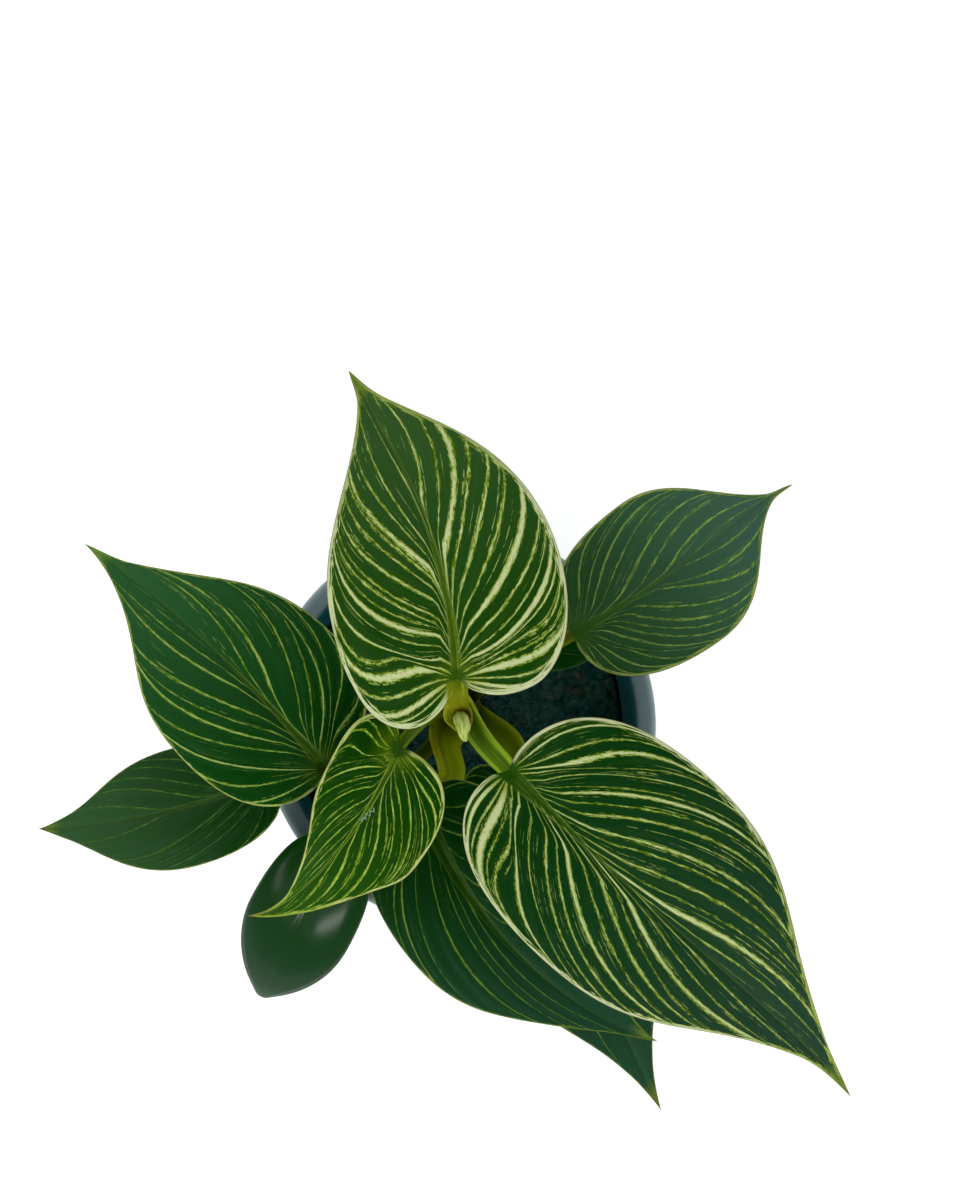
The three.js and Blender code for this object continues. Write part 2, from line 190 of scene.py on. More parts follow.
class Paint:
    # one material's nodes, with short ways to add the ones used here
    def __init__(self, name):
        self.material = bpy.data.materials.new(name)
        self.material.use_nodes = True
        self.tree = self.material.node_tree
        self.tree.nodes.clear()

    def add(self, kind, given=None, out=0, **settings):
        node = self.tree.nodes.new(kind)
        for key, value in settings.items():
            setattr(node, key, value)
        for key, value in (given or {}).items():
            if isinstance(value, Wire):
                self.tree.links.new(value.socket, node.inputs[key])
            else:
                node.inputs[key].default_value = value
        return Wire(self, node.outputs[out]) if len(node.outputs) else None

    def calc(self, operation, a, b=0.0):
        return self.add("ShaderNodeMath", {0: a, 1: b}, operation=operation)

    def step(self, x, low, high, to=(0.0, 1.0)):
        return self.add("ShaderNodeMapRange", {0: x, 1: low, 2: high, 3: to[0], 4: to[1]},
                        interpolation_type="SMOOTHSTEP")

    def join(self, x, y, z=0.0):
        return self.add("ShaderNodeCombineXYZ", {0: x, 1: y, 2: z})

    def split(self, vector):
        self.add("ShaderNodeSeparateXYZ", {0: vector})
        return [Wire(self, socket) for socket in self.tree.nodes[-1].outputs]

    def veins(self):                        # the piece's own map
        return self.split(self.add("ShaderNodeUVMap", uv_map="veins"))

    def place(self):                        # the value kept at its points
        return self.split(self.add("ShaderNodeAttribute", out=1, attribute_name="place"))

    def where(self):
        return self.add("ShaderNodeTexCoord", out=3)

    def grain(self, vector, scale=1.0, detail=2.0, rough=0.5):
        return self.add("ShaderNodeTexNoise", {"Vector": vector, "Scale": scale, "Detail": detail,
                                               "Roughness": rough})

    def mix(self, factor, a, b):
        a, b = [c if isinstance(c, Wire) else (*c, 1.0) for c in (a, b)]
        return self.add("ShaderNodeMix", {0: factor, 6: a, 7: b}, out=2, data_type="RGBA")

    def coats(self, color, *layers):        # each layer is how much of it shows, and its colour
        for amount, over in layers:
            color = self.mix(amount, color, over)
        return color

    def ramp(self, x, stops):
        ramp = self.add("ShaderNodeValToRGB", {0: x})
        elements = self.tree.nodes[-1].color_ramp.elements
        while len(elements) > 1:
            elements.remove(elements[-1])
        for i, (place, level) in enumerate(stops):
            element = elements[0] if i == 0 else elements.new(place)
            element.position = place
            element.color = (level, level, level, 1)
        return ramp

    def bump(self, height, strength, distance):
        return self.add("ShaderNodeBump", {"Height": height, "Strength": strength, "Distance": distance * mm})

    def finish(self, color, roughness, bump=None, gloss=0.5, **plain):
        given = {"Base Color": color, "Roughness": roughness, "Specular IOR Level": gloss}
        if bump:
            given["Normal"] = self.bump(*bump)
        given.update({key.replace("_", " "): value for key, value in plain.items()})
        self.add("ShaderNodeOutputMaterial", {0: self.add("ShaderNodeBsdfPrincipled", given)})
        return self.material


# leaves
# Sizes in mm, angles in degrees. heading turns from +X to +Y, swing and hook bend the midrib sideways,
# rise is the slope at the base and droop its loss by the tip, fold lifts each half, arch rolls it down.
# lobe, widest and acumen are shares of the length, shoulder of the half width; bow curves the side veins;
# wedge is the half width of the midrib's green at the base and how fast it narrows.
# A streak is where it runs between sinus 0 and tip 1, near the midrib, halfway and near the margin,
# then its half width in thousandths, at the same three places or all along.
# own changes the leaf's look. What a leaf doesn't give is as in plainLeaf.
plainLeaf = {"swing": 0, "hook": 0, "skew": 0, "roll": 0, "bow": 1, "own": {}, "streaks": ([], [])}
leaves = {
    "leaf_1": {
        "base": (-0.7, 12.4, 163), "heading": 92, "swing": 38, "hook": -11, "rise": 24, "droop": 44,
        "length": 92, "halfWidth": 32.3, "skew": -0.01, "roll": 1, "fold": (16, 16), "arch": 30,
        "lobe": (0.143, 0.042), "widest": (0.256, 0.256), "acumen": 0.883, "shoulder": (0.09, 0.114),
        "ripple": 1.0, "wedge": (1.55, 1.8), "look": "cream",
        "own": {"foot": (.135, .175, .002), "margin": (1.65, 1.0)},
        "streaks": (
            [(.10, .09, .11, 14, 12, 14), (.165, .152, .19, 5, 4, 5), (.23, .187, .22, 12, 9, 8),
             (.29, .24, .268, 4, 3, 3), (.36, .283, .312, 9, 8, 7), (.445, .313, .345, 4, 1.5, 2),
             (.50, .354, .45, 5, 6, 5), (.545, .45, .50, 2, 2, 2.5), (.58, .493, .525, 6, 8, 7),
             (.60, .525, .545, 0, 1, 1), (.605, .557, .556, 2.4, 2, 1.2), (.625, .575, .58, 1.8, 1.5, .8),
             (.66, .618, .61, 3.2, 2.7, 2.4), (.682, .66, .655, 2.5, 1.7, 1), (.70, .688, .69, 2, 1.5, .8),
             (.722, .703, .705, 8, 3.2, 2.4), (.738, .744, .76, 2, 1.5, .5), (.76, .789, .85, 3, 2.2, 2.4),
             (.84, .89, .93, 6, .5, 0)],
            [(.11, .10, .12, 14, 13, 13), (.20, .178, .208, 15, 11, 11), (.27, .233, .265, 5, 4, 4),
             (.315, .279, .293, 13, 8, 6), (.36, .306, .32, 2, 1.5, 2), (.45, .331, .348, 3, 2.5, 3),
             (.47, .372, .378, 0, 4, 4), (.497, .407, .408, 9, 13, 9), (.515, .46, .43, 2, 2.5, 2.5),
             (.55, .503, .455, 3, 3.5, 3), (.59, .553, .515, 7, 9, 7), (.625, .612, .565, 3, 2.5, 1.5),
             (.662, .657, .607, 3, 3, 2.5), (.70, .70, .657, 2, 2, 1), (.748, .729, .721, 8, 5, 5),
             (.768, .771, .772, 2, 1.5, 1), (.823, .828, .87, 4, 2.5, 4)]),
    },
    "leaf_2": {
        "base": (13.5, -12.5, 158), "heading": -45, "swing": 8, "hook": -16, "rise": 10, "droop": 42,
        "length": 138, "halfWidth": 34, "skew": 0.083, "roll": 8.5, "fold": (15.5, 12.5), "arch": 26,
        "lobe": (0.002, 0.014), "widest": (0.29, 0.28), "acumen": 0.827, "shoulder": (0.16, 0.115),
        "ripple": 1.4, "wedge": (2.8, 8.0), "look": "cream",
        "own": {"dark": (.0016, .035, .0018), "tip": (.014, .049, .025), "heart": (.013, .062, .0003),
                "rib": (.026, .076, .0006), "flank": 0.3, "shift": -0.03,
                "rag": 2.2, "midrib": (0.10, 0.55, 0.3), "strands": .15, "margin": (1.25, 0.9)},
        "streaks": (
            [(.13, .12, .17, 10, 6, 7), (.235, .216, .295, 11, 8, 6), (.32, .291, .33, 5, 2.5, 2),
             (.39, .331, .366, 10, 5, 5), (.46, .38, .395, 4, 0, 1), (.50, .43, .437, 3.5, 3, 4.5),
             (.53, .50, .505, 0, .8, 0), (.55, .525, .545, 4, 6, 7), (.572, .563, .57, .6, 1.2, .6),
             (.604, .598, .63, 3, 2.2, 1.4), (.637, .664, .71, 4.5, 3.2, 3), (.662, .69, .74, 1.2, .8, 0),
             (.693, .733, .775, 2.4, 1.6, .6), (.73, .77, .80, 1, .5, 0), (.769, .805, .845, 9, 4, 3),
             (.805, .86, .90, 2.2, 1.6, .5)],
            [(.10, .09, .12, 8, 6, 8), (.19, .178, .262, 14, 14, 12), (.27, .236, .258, 5, 4, 3),
             (.32, .265, .292, 13, 10, 9), (.37, .292, .31, 1, 1.2, 1), (.45, .317, .333, 3, 2.4, 2.5),
             (.492, .362, .39, 8, 7, 5), (.54, .454, .433, 2, 2.2, 2.5), (.583, .518, .50, 4, 3, 2.5),
             (.607, .56, .556, 2.4, 2.6, 2), (.626, .603, .63, 8, 5, 6), (.657, .648, .65, 1.8, 1.3, 1),
             (.688, .683, .70, 4, 2.8, 2), (.712, .713, .72, 1, .8, .4), (.73, .745, .80, 9, 4.2, 6),
             (.756, .789, .82, 2.4, 1.4, .7), (.805, .85, .875, 3, 2.4, .7)]),
    },
    "leaf_3": {
        "base": (-16.3, -6.2, 150), "heading": -114, "swing": -31, "hook": -29, "rise": 2, "droop": 50,
        "length": 75, "halfWidth": 18.2, "skew": 0.12, "roll": 2, "fold": (18, 18), "arch": 22,
        "lobe": (-0.012, 0.086), "widest": (0.243, 0.103), "acumen": 0.735, "shoulder": (0.247, 0.107),
        "ripple": 0.8, "wedge": (0.95, 2.4), "look": "young",
        "own": {"scorch": (.34, .17, .02), "scar": (0.275, 1.1)},
        "streaks": (
            [(.17, .16, .19, 5), (.30, .26, .28, 3), (.38, .306, .32, 5), (.455, .35, .36, 2),
             (.492, .405, .42, 3, 3, 2.4), (.503, .569, .65, 3, 4, 4.4), (.57, .618, .66, .8, 1, .8),
             (.604, .663, .73, 1.8, 1.4, 1.4), (.657, .7315, .79, 4, 3.5, 4), (.715, .783, .84, 1.6, 1.4, .8),
             (.769, .828, .87, 3.4, 2.8, 2), (.83, .876, .91, 1.8, 1.6, .6)],
            [(.13, .12, .14, 3), (.265, .175, .19, 1.4), (.285, .205, .232, 2), (.50, .265, .285, 2.4),
             (.52, .35, .36, 1.6), (.536, .463, .425, 4, 8, 3), (.575, .543, .53, 1.4),
             (.618, .605, .66, 2.4, 2.2, 1), (.657, .6985, .78, 3.4, 3, 2), (.70, .775, .84, 2.6, 2, 1),
             (.75, .83, .88, 1.8, 1.6, .6), (.80, .87, .91, 1.4, 1.2, 0)]),
    },
    "leaf_4": {
        "base": (-37.4, -12.5, 141), "heading": 130, "swing": 13.5, "hook": 5, "rise": 8, "droop": 30,
        "length": 97.5, "halfWidth": 27.4, "skew": 0.018, "roll": 6, "fold": (13, 11), "arch": 20,
        "lobe": (0.01, -0.015), "widest": (0.3, 0.238), "acumen": 0.838, "shoulder": (0.171, 0.115),
        "ripple": 1.2, "wedge": (1.7, 4.0), "look": "thin",
        "streaks": (
            [(.15, .14, .16, 3), (.25, .235, .26, 4), (.33, .31, .34, 2), (.43, .405, .44, 5, 5, 7),
             (.55, .54, .535, 1.5), (.585, .61, .665, 3, 4, 5), (.62, .65, .68, 1), (.66, .70, .72, 2),
             (.73, .785, .85, 4, 3, 2.5), (.77, .845, .88, 1.5)],
            [(.20, .18, .19, 3), (.30, .22, .23, 2), (.38, .27, .285, 3), (.45, .34, .36, 3),
             (.48, .42, .47, 1.5), (.515, .495, .60, 4, 3, 4), (.555, .55, .57, 1.5), (.60, .61, .64, 2),
             (.68, .72, .80, 5, 3, 3), (.74, .78, .84, 1.5)]),
    },
    "leaf_5": {
        "base": (32.6, 26, 137), "heading": 28, "swing": 20, "hook": -23, "rise": 12, "droop": 26,
        "length": 77, "halfWidth": 24, "fold": (10, 10), "arch": 16,
        "lobe": (0, -0.012), "widest": (0.42, 0.43), "acumen": 0.889, "shoulder": (0.055, 0.07),
        "ripple": 1.0, "wedge": (1.9, 5.0), "look": "dusky_sheen",
        "streaks": (
            [(.20, .19, .21, 4), (.34, .30, .33, 2), (.47, .385, .41, 5), (.52, .435, .46, 2),
             (.56, .485, .51, 2), (.595, .56, .60, 4), (.63, .62, .63, 1.5), (.69, .686, .71, 3.5),
             (.74, .735, .75, 1.2), (.797, .795, .86, 3), (.85, .86, .90, 1.5)],
            [(.20, .16, .18, 3), (.34, .24, .26, 3), (.41, .30, .32, 5), (.455, .364, .387, 5.5),
             (.50, .42, .41, 2.2), (.555, .465, .44, 1.6), (.60, .514, .447, 4.4, 4.2, 5),
             (.63, .565, .52, 1.6), (.65, .60, .575, 1.3), (.682, .631, .62, 2.4), (.71, .675, .66, 1.3),
             (.764, .7315, .70, 3, 2.6, 1), (.77, .7654, .80, 1, 2, 2), (.82, .83, .87, 1.4, 1.2, .6)]),
    },
    "leaf_6": {
        "base": (-11.2, -21.8, 134), "heading": -69, "swing": 48, "rise": 0, "droop": 34,
        "length": 109, "halfWidth": 24.6, "roll": 1, "fold": (12, 12), "arch": 26,
        "lobe": (0.025, 0.025), "widest": (0.272, 0.272), "acumen": 0.81, "shoulder": (0.29, 0.141),
        "ripple": 1.2, "wedge": (2.6, 2.6), "look": "faint",
        "streaks": (
            [(.19, .17, .19, 3), (.33, .28, .30, 2), (.48, .43, .46, 2), (.54, .50, .53, 3),
             (.62, .60, .63, 1.5), (.68, .67, .71, 2.6), (.75, .76, .80, 1.5)],
            [(.19, .17, .19, 3), (.36, .27, .29, 2.5), (.40, .35, .37, 1.5), (.45, .405, .45, 3, 7, 6),
             (.52, .53, .57, 1.2), (.57, .657, .735, 2.6, 4.2, 3), (.635, .745, .80, 1.8, 1.6, 1),
             (.68, .79, .84, 1), (.735, .86, .90, 3, 2, 1)]),
    },
    "leaf_7": {
        "base": (-54.8, -15, 122), "heading": -157, "swing": -21, "rise": -4, "droop": 22,
        "length": 76, "halfWidth": 17.6, "roll": 1, "fold": (8, 8), "arch": 18,
        "lobe": (0, 0), "widest": (0.365, 0.365), "acumen": 0.88, "shoulder": (0.168, 0.168),
        "ripple": 0.8, "wedge": (1.0, 1.4), "look": "faint",
        "own": {"dark": (.001, .036, .0006), "tip": (.026, .086, .024), "rib": (.060, .130, .018),
                "midrib": (0.30, 1.0, 0.5), "streak": (.13, .22, .05), "thin": (.075, .150, .035)},
        "streaks": (
            [(.34, .32, .34, 1.4), (.47, .49, .50, 2.2), (.56, .57, .59, 1), (.64, .65, .66, 1.6),
             (.80, .81, .82, 1.4)],
            [(.34, .32, .34, 1.6), (.50, .49, .50, 1.6), (.60, .58, .57, 1.4), (.66, .65, .65, 1),
             (.72, .71, .72, 1.6), (.80, .80, .81, 1)]),
    },
    "leaf_8": {
        "base": (17.9, -19, 118), "heading": -68.5, "swing": 5, "rise": -2, "droop": 26,
        "length": 111, "halfWidth": 24.3, "roll": -2.5, "fold": (10, 10), "arch": 22,
        "lobe": (0.1, 0.1), "widest": (0.36, 0.36), "acumen": 0.85, "shoulder": (0.155, 0.155),
        "ripple": 1.0, "wedge": (2.4, 2.6), "look": "faint",
        "streaks": (
            [(.20, .18, .20, 2), (.45, .38, .41, 2), (.58, .56, .60, 2), (.70, .72, .78, 2)],
            [(.20, .18, .20, 2), (.42, .36, .38, 2), (.55, .53, .55, 2), (.64, .65, .68, 1.6),
             (.75, .78, .83, 2)]),
    },
    "leaf_9": {
        "base": (20, 24.5, 113), "heading": 30, "rise": 0, "droop": 24,
        "length": 52, "halfWidth": 14, "fold": (6, 6), "arch": 20,
        "lobe": (0.03, 0.03), "widest": (0.3, 0.3), "acumen": 0.86, "shoulder": (0.16, 0.16),
        "ripple": 0.6, "wedge": (1.2, 2.0), "look": "plain",
    },
    "leaf_10": {
        "base": (-34.7, -35.3, 112), "heading": -119, "rise": -14, "droop": 42,
        "length": 68, "halfWidth": 17.2, "roll": -1, "fold": (4, 4), "arch": 34,
        "lobe": (0.003, 0.003), "widest": (0.473, 0.473), "acumen": 0.94, "shoulder": (0.223, 0.223),
        "ripple": 0.4, "wedge": (1.2, 2.0), "bow": 0, "look": "plain",
    },
}
leaves = {name: {**plainLeaf, **leaf} for name, leaf in leaves.items()}

# the side veins curve: lift turns them up from the straight line, by where on the margin they end;
# arrive is how they meet the margin, and follow how far they run along before they do
veinCurve = {
    "lift": 38, "liftAt": ((0.05, 0.3, 0.48), (0, 0.25, 1)),
    "arriveAt": ((0, 0.2, 0.4, 0.8, 1), (20, 20, 18, 16, 12)),
    "followAt": ((0.05, 0.3, 0.45, 1), (0, 0.1, 0.28, 0.3)),
}
streakSlope = 60.0              # how fast a streak's level falls off beside its middle
streakLevel = 0.5               # the level at its edge
streakBend = 0.06               # how far the streaks turn down along the midrib

blade = {
    "rows": 150,                # from sinus to tip
    "marginSteps": 240,
    "columns": 22,              # from midrib to margin, closer together by the midrib
    "crowding": 1.4,
    "thickness": 0.62,
    "edgeShare": 0.4,           # of the thickness, left at the margin
    "thinLevels": 6,
    "groove": 0.5,              # depth of the midrib's channel
    "waves": 8.4,               # how fast the ripples follow each other
    "quilt": 0.16,              # swell between the side veins
    "sideVeins": 13,
    "firstRib": 0.05,
    "acumenRun": 0.86,
}


def cubic(points, t):
    t = np.asarray(t, float)[..., None]
    a, b, c, d = [np.asarray(p, float) for p in points]
    return (1 - t) ** 3 * a + 3 * (1 - t) ** 2 * t * b + 3 * (1 - t) * t ** 2 * c + t ** 3 * d


def lobeRun(widest):
    return 0.18 + 0.6 * widest


def marginLine(leaf, half, s):
    # margin of one half in the leaf's own plane, x along the midrib and y out from it, in mm
    lobe, widest, shoulder = leaf["lobe"][half], leaf["widest"][half], leaf["shoulder"][half]
    acumen = leaf["acumen"]
    back = -(lobe + 0.064 * widest) / 0.72
    draw, tail, run, end = (1 - acumen) / 0.14, 1 - acumen, lobeRun(widest), blade["acumenRun"]
    middle = widest + 0.5 * (acumen - widest)
    s = np.asarray(s, float)
    lower = cubic([(0, 0), (back, 0.2), (back, 1), (widest, 1)], np.clip(s / run, 0, 1))
    drop = min(0.458 * tail, 0.8 * shoulder)
    bend = (acumen - 0.22 * draw, shoulder + 0.336 * draw)
    near, far = (acumen + 0.3 * tail, shoulder - drop), (acumen + 0.7 * tail, 0.03)
    if not leaf["bow"]:                     # blunt, without a drawn-out point
        bend, near, far = (acumen - 0.09, shoulder + 0.26), (acumen + 0.03, shoulder - 0.085), (1, 0.10)
    corner = (acumen, shoulder)
    upper = cubic([(widest, 1), (middle, 1), bend, corner], np.clip((s - run) / (end - run), 0, 1))
    tip = cubic([corner, near, far, (1, 0)], np.clip((s - end) / (1 - end), 0, 1))
    line = np.where((s < run)[..., None], lower, np.where((s < end)[..., None], upper, tip))
    width = leaf["halfWidth"] * (1 + (-1 if half else 1) * leaf["skew"])
    return line * np.array([leaf["length"], width])


def veinPlace(leaf, half, s, v):
    # point at share v of the side vein that ends at s on the margin
    s, v = np.broadcast_arrays(np.asarray(s, float), np.asarray(v, float))
    end = marginLine(leaf, half, s)
    run = marginLine(leaf, half, np.minimum(s + 1e-3, 1)) - marginLine(leaf, half, np.maximum(s - 1e-3, 0))
    fan = lobeRun(max(leaf["widest"])) + 0.05
    root = np.stack([leaf["length"] * np.clip((s - fan) / (1 - fan), 0, 1) ** 2, 0 * s], -1)
    reach = np.linalg.norm(end - root, axis=-1)
    aim = np.arctan2(end[..., 1], end[..., 0] - root[..., 0])
    lift = np.radians(veinCurve["lift"]) * leaf["bow"] * np.interp(s, *veinCurve["liftAt"])
    lift = lift * np.where(aim < np.pi / 2, np.sin(aim), np.clip(1 - (aim - np.pi / 2) / 0.96, 0, 1))
    arrive = np.arctan2(run[..., 1], run[..., 0])
    arrive = arrive + np.radians(np.interp(s, *veinCurve["arriveAt"]))
    follow = leaf["bow"] * reach * np.interp(s, *veinCurve["followAt"])
    if not leaf["bow"]:
        return root + (end - root) * v[..., None]
    c1 = root + (0.4 * reach)[..., None] * np.stack([np.cos(aim + lift), np.sin(aim + lift)], -1)
    c2 = end - follow[..., None] * np.stack([np.cos(arrive), np.sin(arrive)], -1)
    return cubic([root, c1, c2, end], v)


def midribFrames(leaf, x):
    # middle, forward, left and up of the midrib at x mm from the base
    steps = 60
    g = np.linspace(0, 1, steps + 1)
    turn = np.radians(leaf["heading"] + leaf["swing"] * g + leaf["hook"] * g ** 5)
    tilt = np.radians(leaf["rise"] - leaf["droop"] * g ** 1.3)
    forward = np.stack([np.cos(tilt) * np.cos(turn), np.cos(tilt) * np.sin(turn), np.sin(tilt)], -1)
    stride = (forward[1:] + forward[:-1]) / 2 * leaf["length"] / steps
    middle = np.concatenate([[[0, 0, 0]], np.cumsum(stride, 0)]) + np.array(leaf["base"], float)
    side = np.stack([-np.sin(turn), np.cos(turn), 0 * turn], -1)
    up = np.cross(forward, side)
    roll = math.radians(leaf["roll"])
    left = side * math.cos(roll) + up * math.sin(roll)
    up = up * math.cos(roll) - side * math.sin(roll)
    x = np.asarray(x, float)
    at = np.clip(x / leaf["length"], 0, 1) * steps
    i = np.minimum(at.astype(int), steps - 1)
    f = (at - i)[..., None]
    middle, forward, left, up = [a[i] * (1 - f) + a[i + 1] * f for a in (middle, forward, left, up)]
    return middle + np.minimum(x, 0)[..., None] * forward, forward, left, up


def onBlade(leaf, half, x, y, lift):
    middle, forward, left, up = midribFrames(leaf, x)
    fold = np.radians(leaf["fold"][half])
    k = math.radians(leaf["arch"]) / leaf["halfWidth"]
    out = (np.sin(fold) - np.sin(fold - k * y)) / k
    rise = (np.cos(fold - k * y) - np.cos(fold)) / k
    return middle + left * ((-1 if half else 1) * out)[..., None] + up * (rise + lift)[..., None]


def straighten(rows, s, v):
    # the streaks' own coordinate: each streak runs along one value of it
    if not rows:
        return s + 0 * v
    rows = sorted(rows, key=lambda row: row[1])
    near, half, far = [np.array([row[k] for row in rows]) for k in range(3)]
    w = np.clip(v, 0.09, 0.93)
    t = np.zeros_like(s)
    for j in range(s.shape[1]):
        q = w[0, j]                         # the parabola through the three places, at this column
        line = (near * (q - 0.5) * (q - 0.9) / 0.32 - half * (q - 0.1) * (q - 0.9) / 0.16
                + far * (q - 0.1) * (q - 0.5) / 0.32)
        turned = max(0.0, 1 - v[0, j] / 0.12) ** 1.5
        line = line - streakBend * turned * smoothStep(line, 0.5, 0.6)
        line = np.maximum.accumulate(np.clip(line, 0.06, 0.97) + 0.004 * np.arange(len(rows)))
        line -= 0.004 * np.arange(len(rows))
        t[:, j] = np.interp(s[:, j], [0.05, *line, 1.0], [0.05, *half, 1.0])
    return t


def streakWidths(row):
    return row[3:] if len(row) > 4 else row[3:] * 3


def lessening(rows, t, v):
    # how much less than its widest each streak is here, as a level
    if not rows:
        return 0 * t
    rows = sorted(rows, key=lambda row: row[1])
    widths = np.array([streakWidths(row) for row in rows], float)
    loss = np.zeros_like(t)
    for j in range(t.shape[1]):
        here = np.array([np.interp(v[0, j], [0.1, 0.5, 0.9], w) for w in widths])
        loss[:, j] = np.interp(t[:, j], [row[1] for row in rows], here - widths.max(1))
    return loss * streakSlope * 0.001


def buildBlade(name, leaf, order, materials):
    rows, columns = blade["rows"], blade["columns"]
    piece, share, up = newSheet(name + "_leaf", 2 * columns, rows)
    mesh = piece.data
    across, s = 2 * share - 1, blade["firstRib"] + (1 - blade["firstRib"]) * up
    row, column = np.rint(up * rows).astype(int), np.rint(np.abs(across) * columns).astype(int)
    gridS = np.linspace(blade["firstRib"], 1, rows + 1)[:, None] + np.zeros((1, columns + 1))
    gridV = np.linspace(0, 1, columns + 1)[None, :] ** blade["crowding"] + np.zeros((rows + 1, 1))
    place, less, streakAt = np.zeros((len(s), 3)), np.zeros(len(s)), []
    co = np.zeros((len(s), 3))
    for half in (0, 1):
        xy = veinPlace(leaf, half, gridS, gridV)
        xy[-1] = (leaf["length"], 0)
        t = straighten(leaf["streaks"][half], gridS, gridV)
        x, y = xy[..., 0], xy[..., 1]
        rim = marginLine(leaf, half, np.linspace(0, 1, blade["marginSteps"]))
        edge = np.min(np.linalg.norm(xy[:, :, None] - rim, axis=-1), axis=2)
        edge[:, -1] = 0
        wave = np.sin(blade["waves"] * x / leaf["length"] + 2.1 * half + order)
        wave = leaf["ripple"] * (y / leaf["halfWidth"]) ** 2 * wave
        along = np.clip(x / leaf["length"], 0, 1)
        depth = blade["groove"] * (1 - along) ** 0.8 * np.exp(-(y / (1.5 - 0.9 * along)) ** 2)
        swell = np.sin(np.pi * gridV) ** 0.8 * np.sin(2 * np.pi * blade["sideVeins"] * t)
        swell = swell * smoothStep(y, 1, 8) * (1 - smoothStep(gridS, 0.86, 0.97))
        swell = swell * leaf["bow"] * blade["quilt"]
        mine = (across > 1e-6) if half else (across <= 1e-6)
        here = (row[mine], column[mine])
        co[mine] = onBlade(leaf, half, x, y, wave - depth + swell)[here]
        place[mine] = np.stack([x / leaf["length"], y, edge], -1)[here]
        less[mine] = lessening(leaf["streaks"][half], t, gridV)[here]
        streakAt.append(t)
    putPlaces(mesh, co * mm)

    putPoints(mesh, "place", place)
    putPoints(mesh, "lessening", less)
    # UV: share of the side vein (plus 2 on the right half), then the streaks' own coordinate
    corner = np.zeros(len(mesh.loops), int)
    mesh.loops.foreach_get("vertex_index", corner)
    owner = np.repeat(np.arange(len(mesh.polygons)), [p.loop_total for p in mesh.polygons])
    right = np.array([across[list(p.vertices)].mean() > 0 for p in mesh.polygons])[owner]
    t = np.where(right, streakAt[1][row[corner], column[corner]], streakAt[0][row[corner], column[corner]])
    uv = np.stack([gridV[0, column[corner]] + 2 * right, t], -1)
    mesh.uv_layers[0].data.foreach_set("uv", uv.astype(np.float32).ravel())

    levels = blade["thinLevels"]            # the blade grows thinner towards its margin, in levels
    thin = piece.vertex_groups.new(name="thickness")
    inner = np.clip((1 - np.abs(across)) * 6, 0, 1) * np.clip((1 - s) * 12, 0, 1)
    for level, left in enumerate(np.linspace(blade["edgeShare"], 1, levels + 1)):
        chosen = np.nonzero(np.rint(inner * levels) == level)[0]
        thin.add([int(i) for i in chosen], left, "REPLACE")
    mergeClose(piece)
    applyModifier(piece, "SOLIDIFY", thickness=blade["thickness"] * mm, offset=0, vertex_group="thickness",
                  material_offset=1, material_offset_rim=0)
    selectOnly(piece)
    bpy.ops.object.shade_smooth()
    settle(piece, name + "_blade", slotOf[leaf["look"]], *materials)


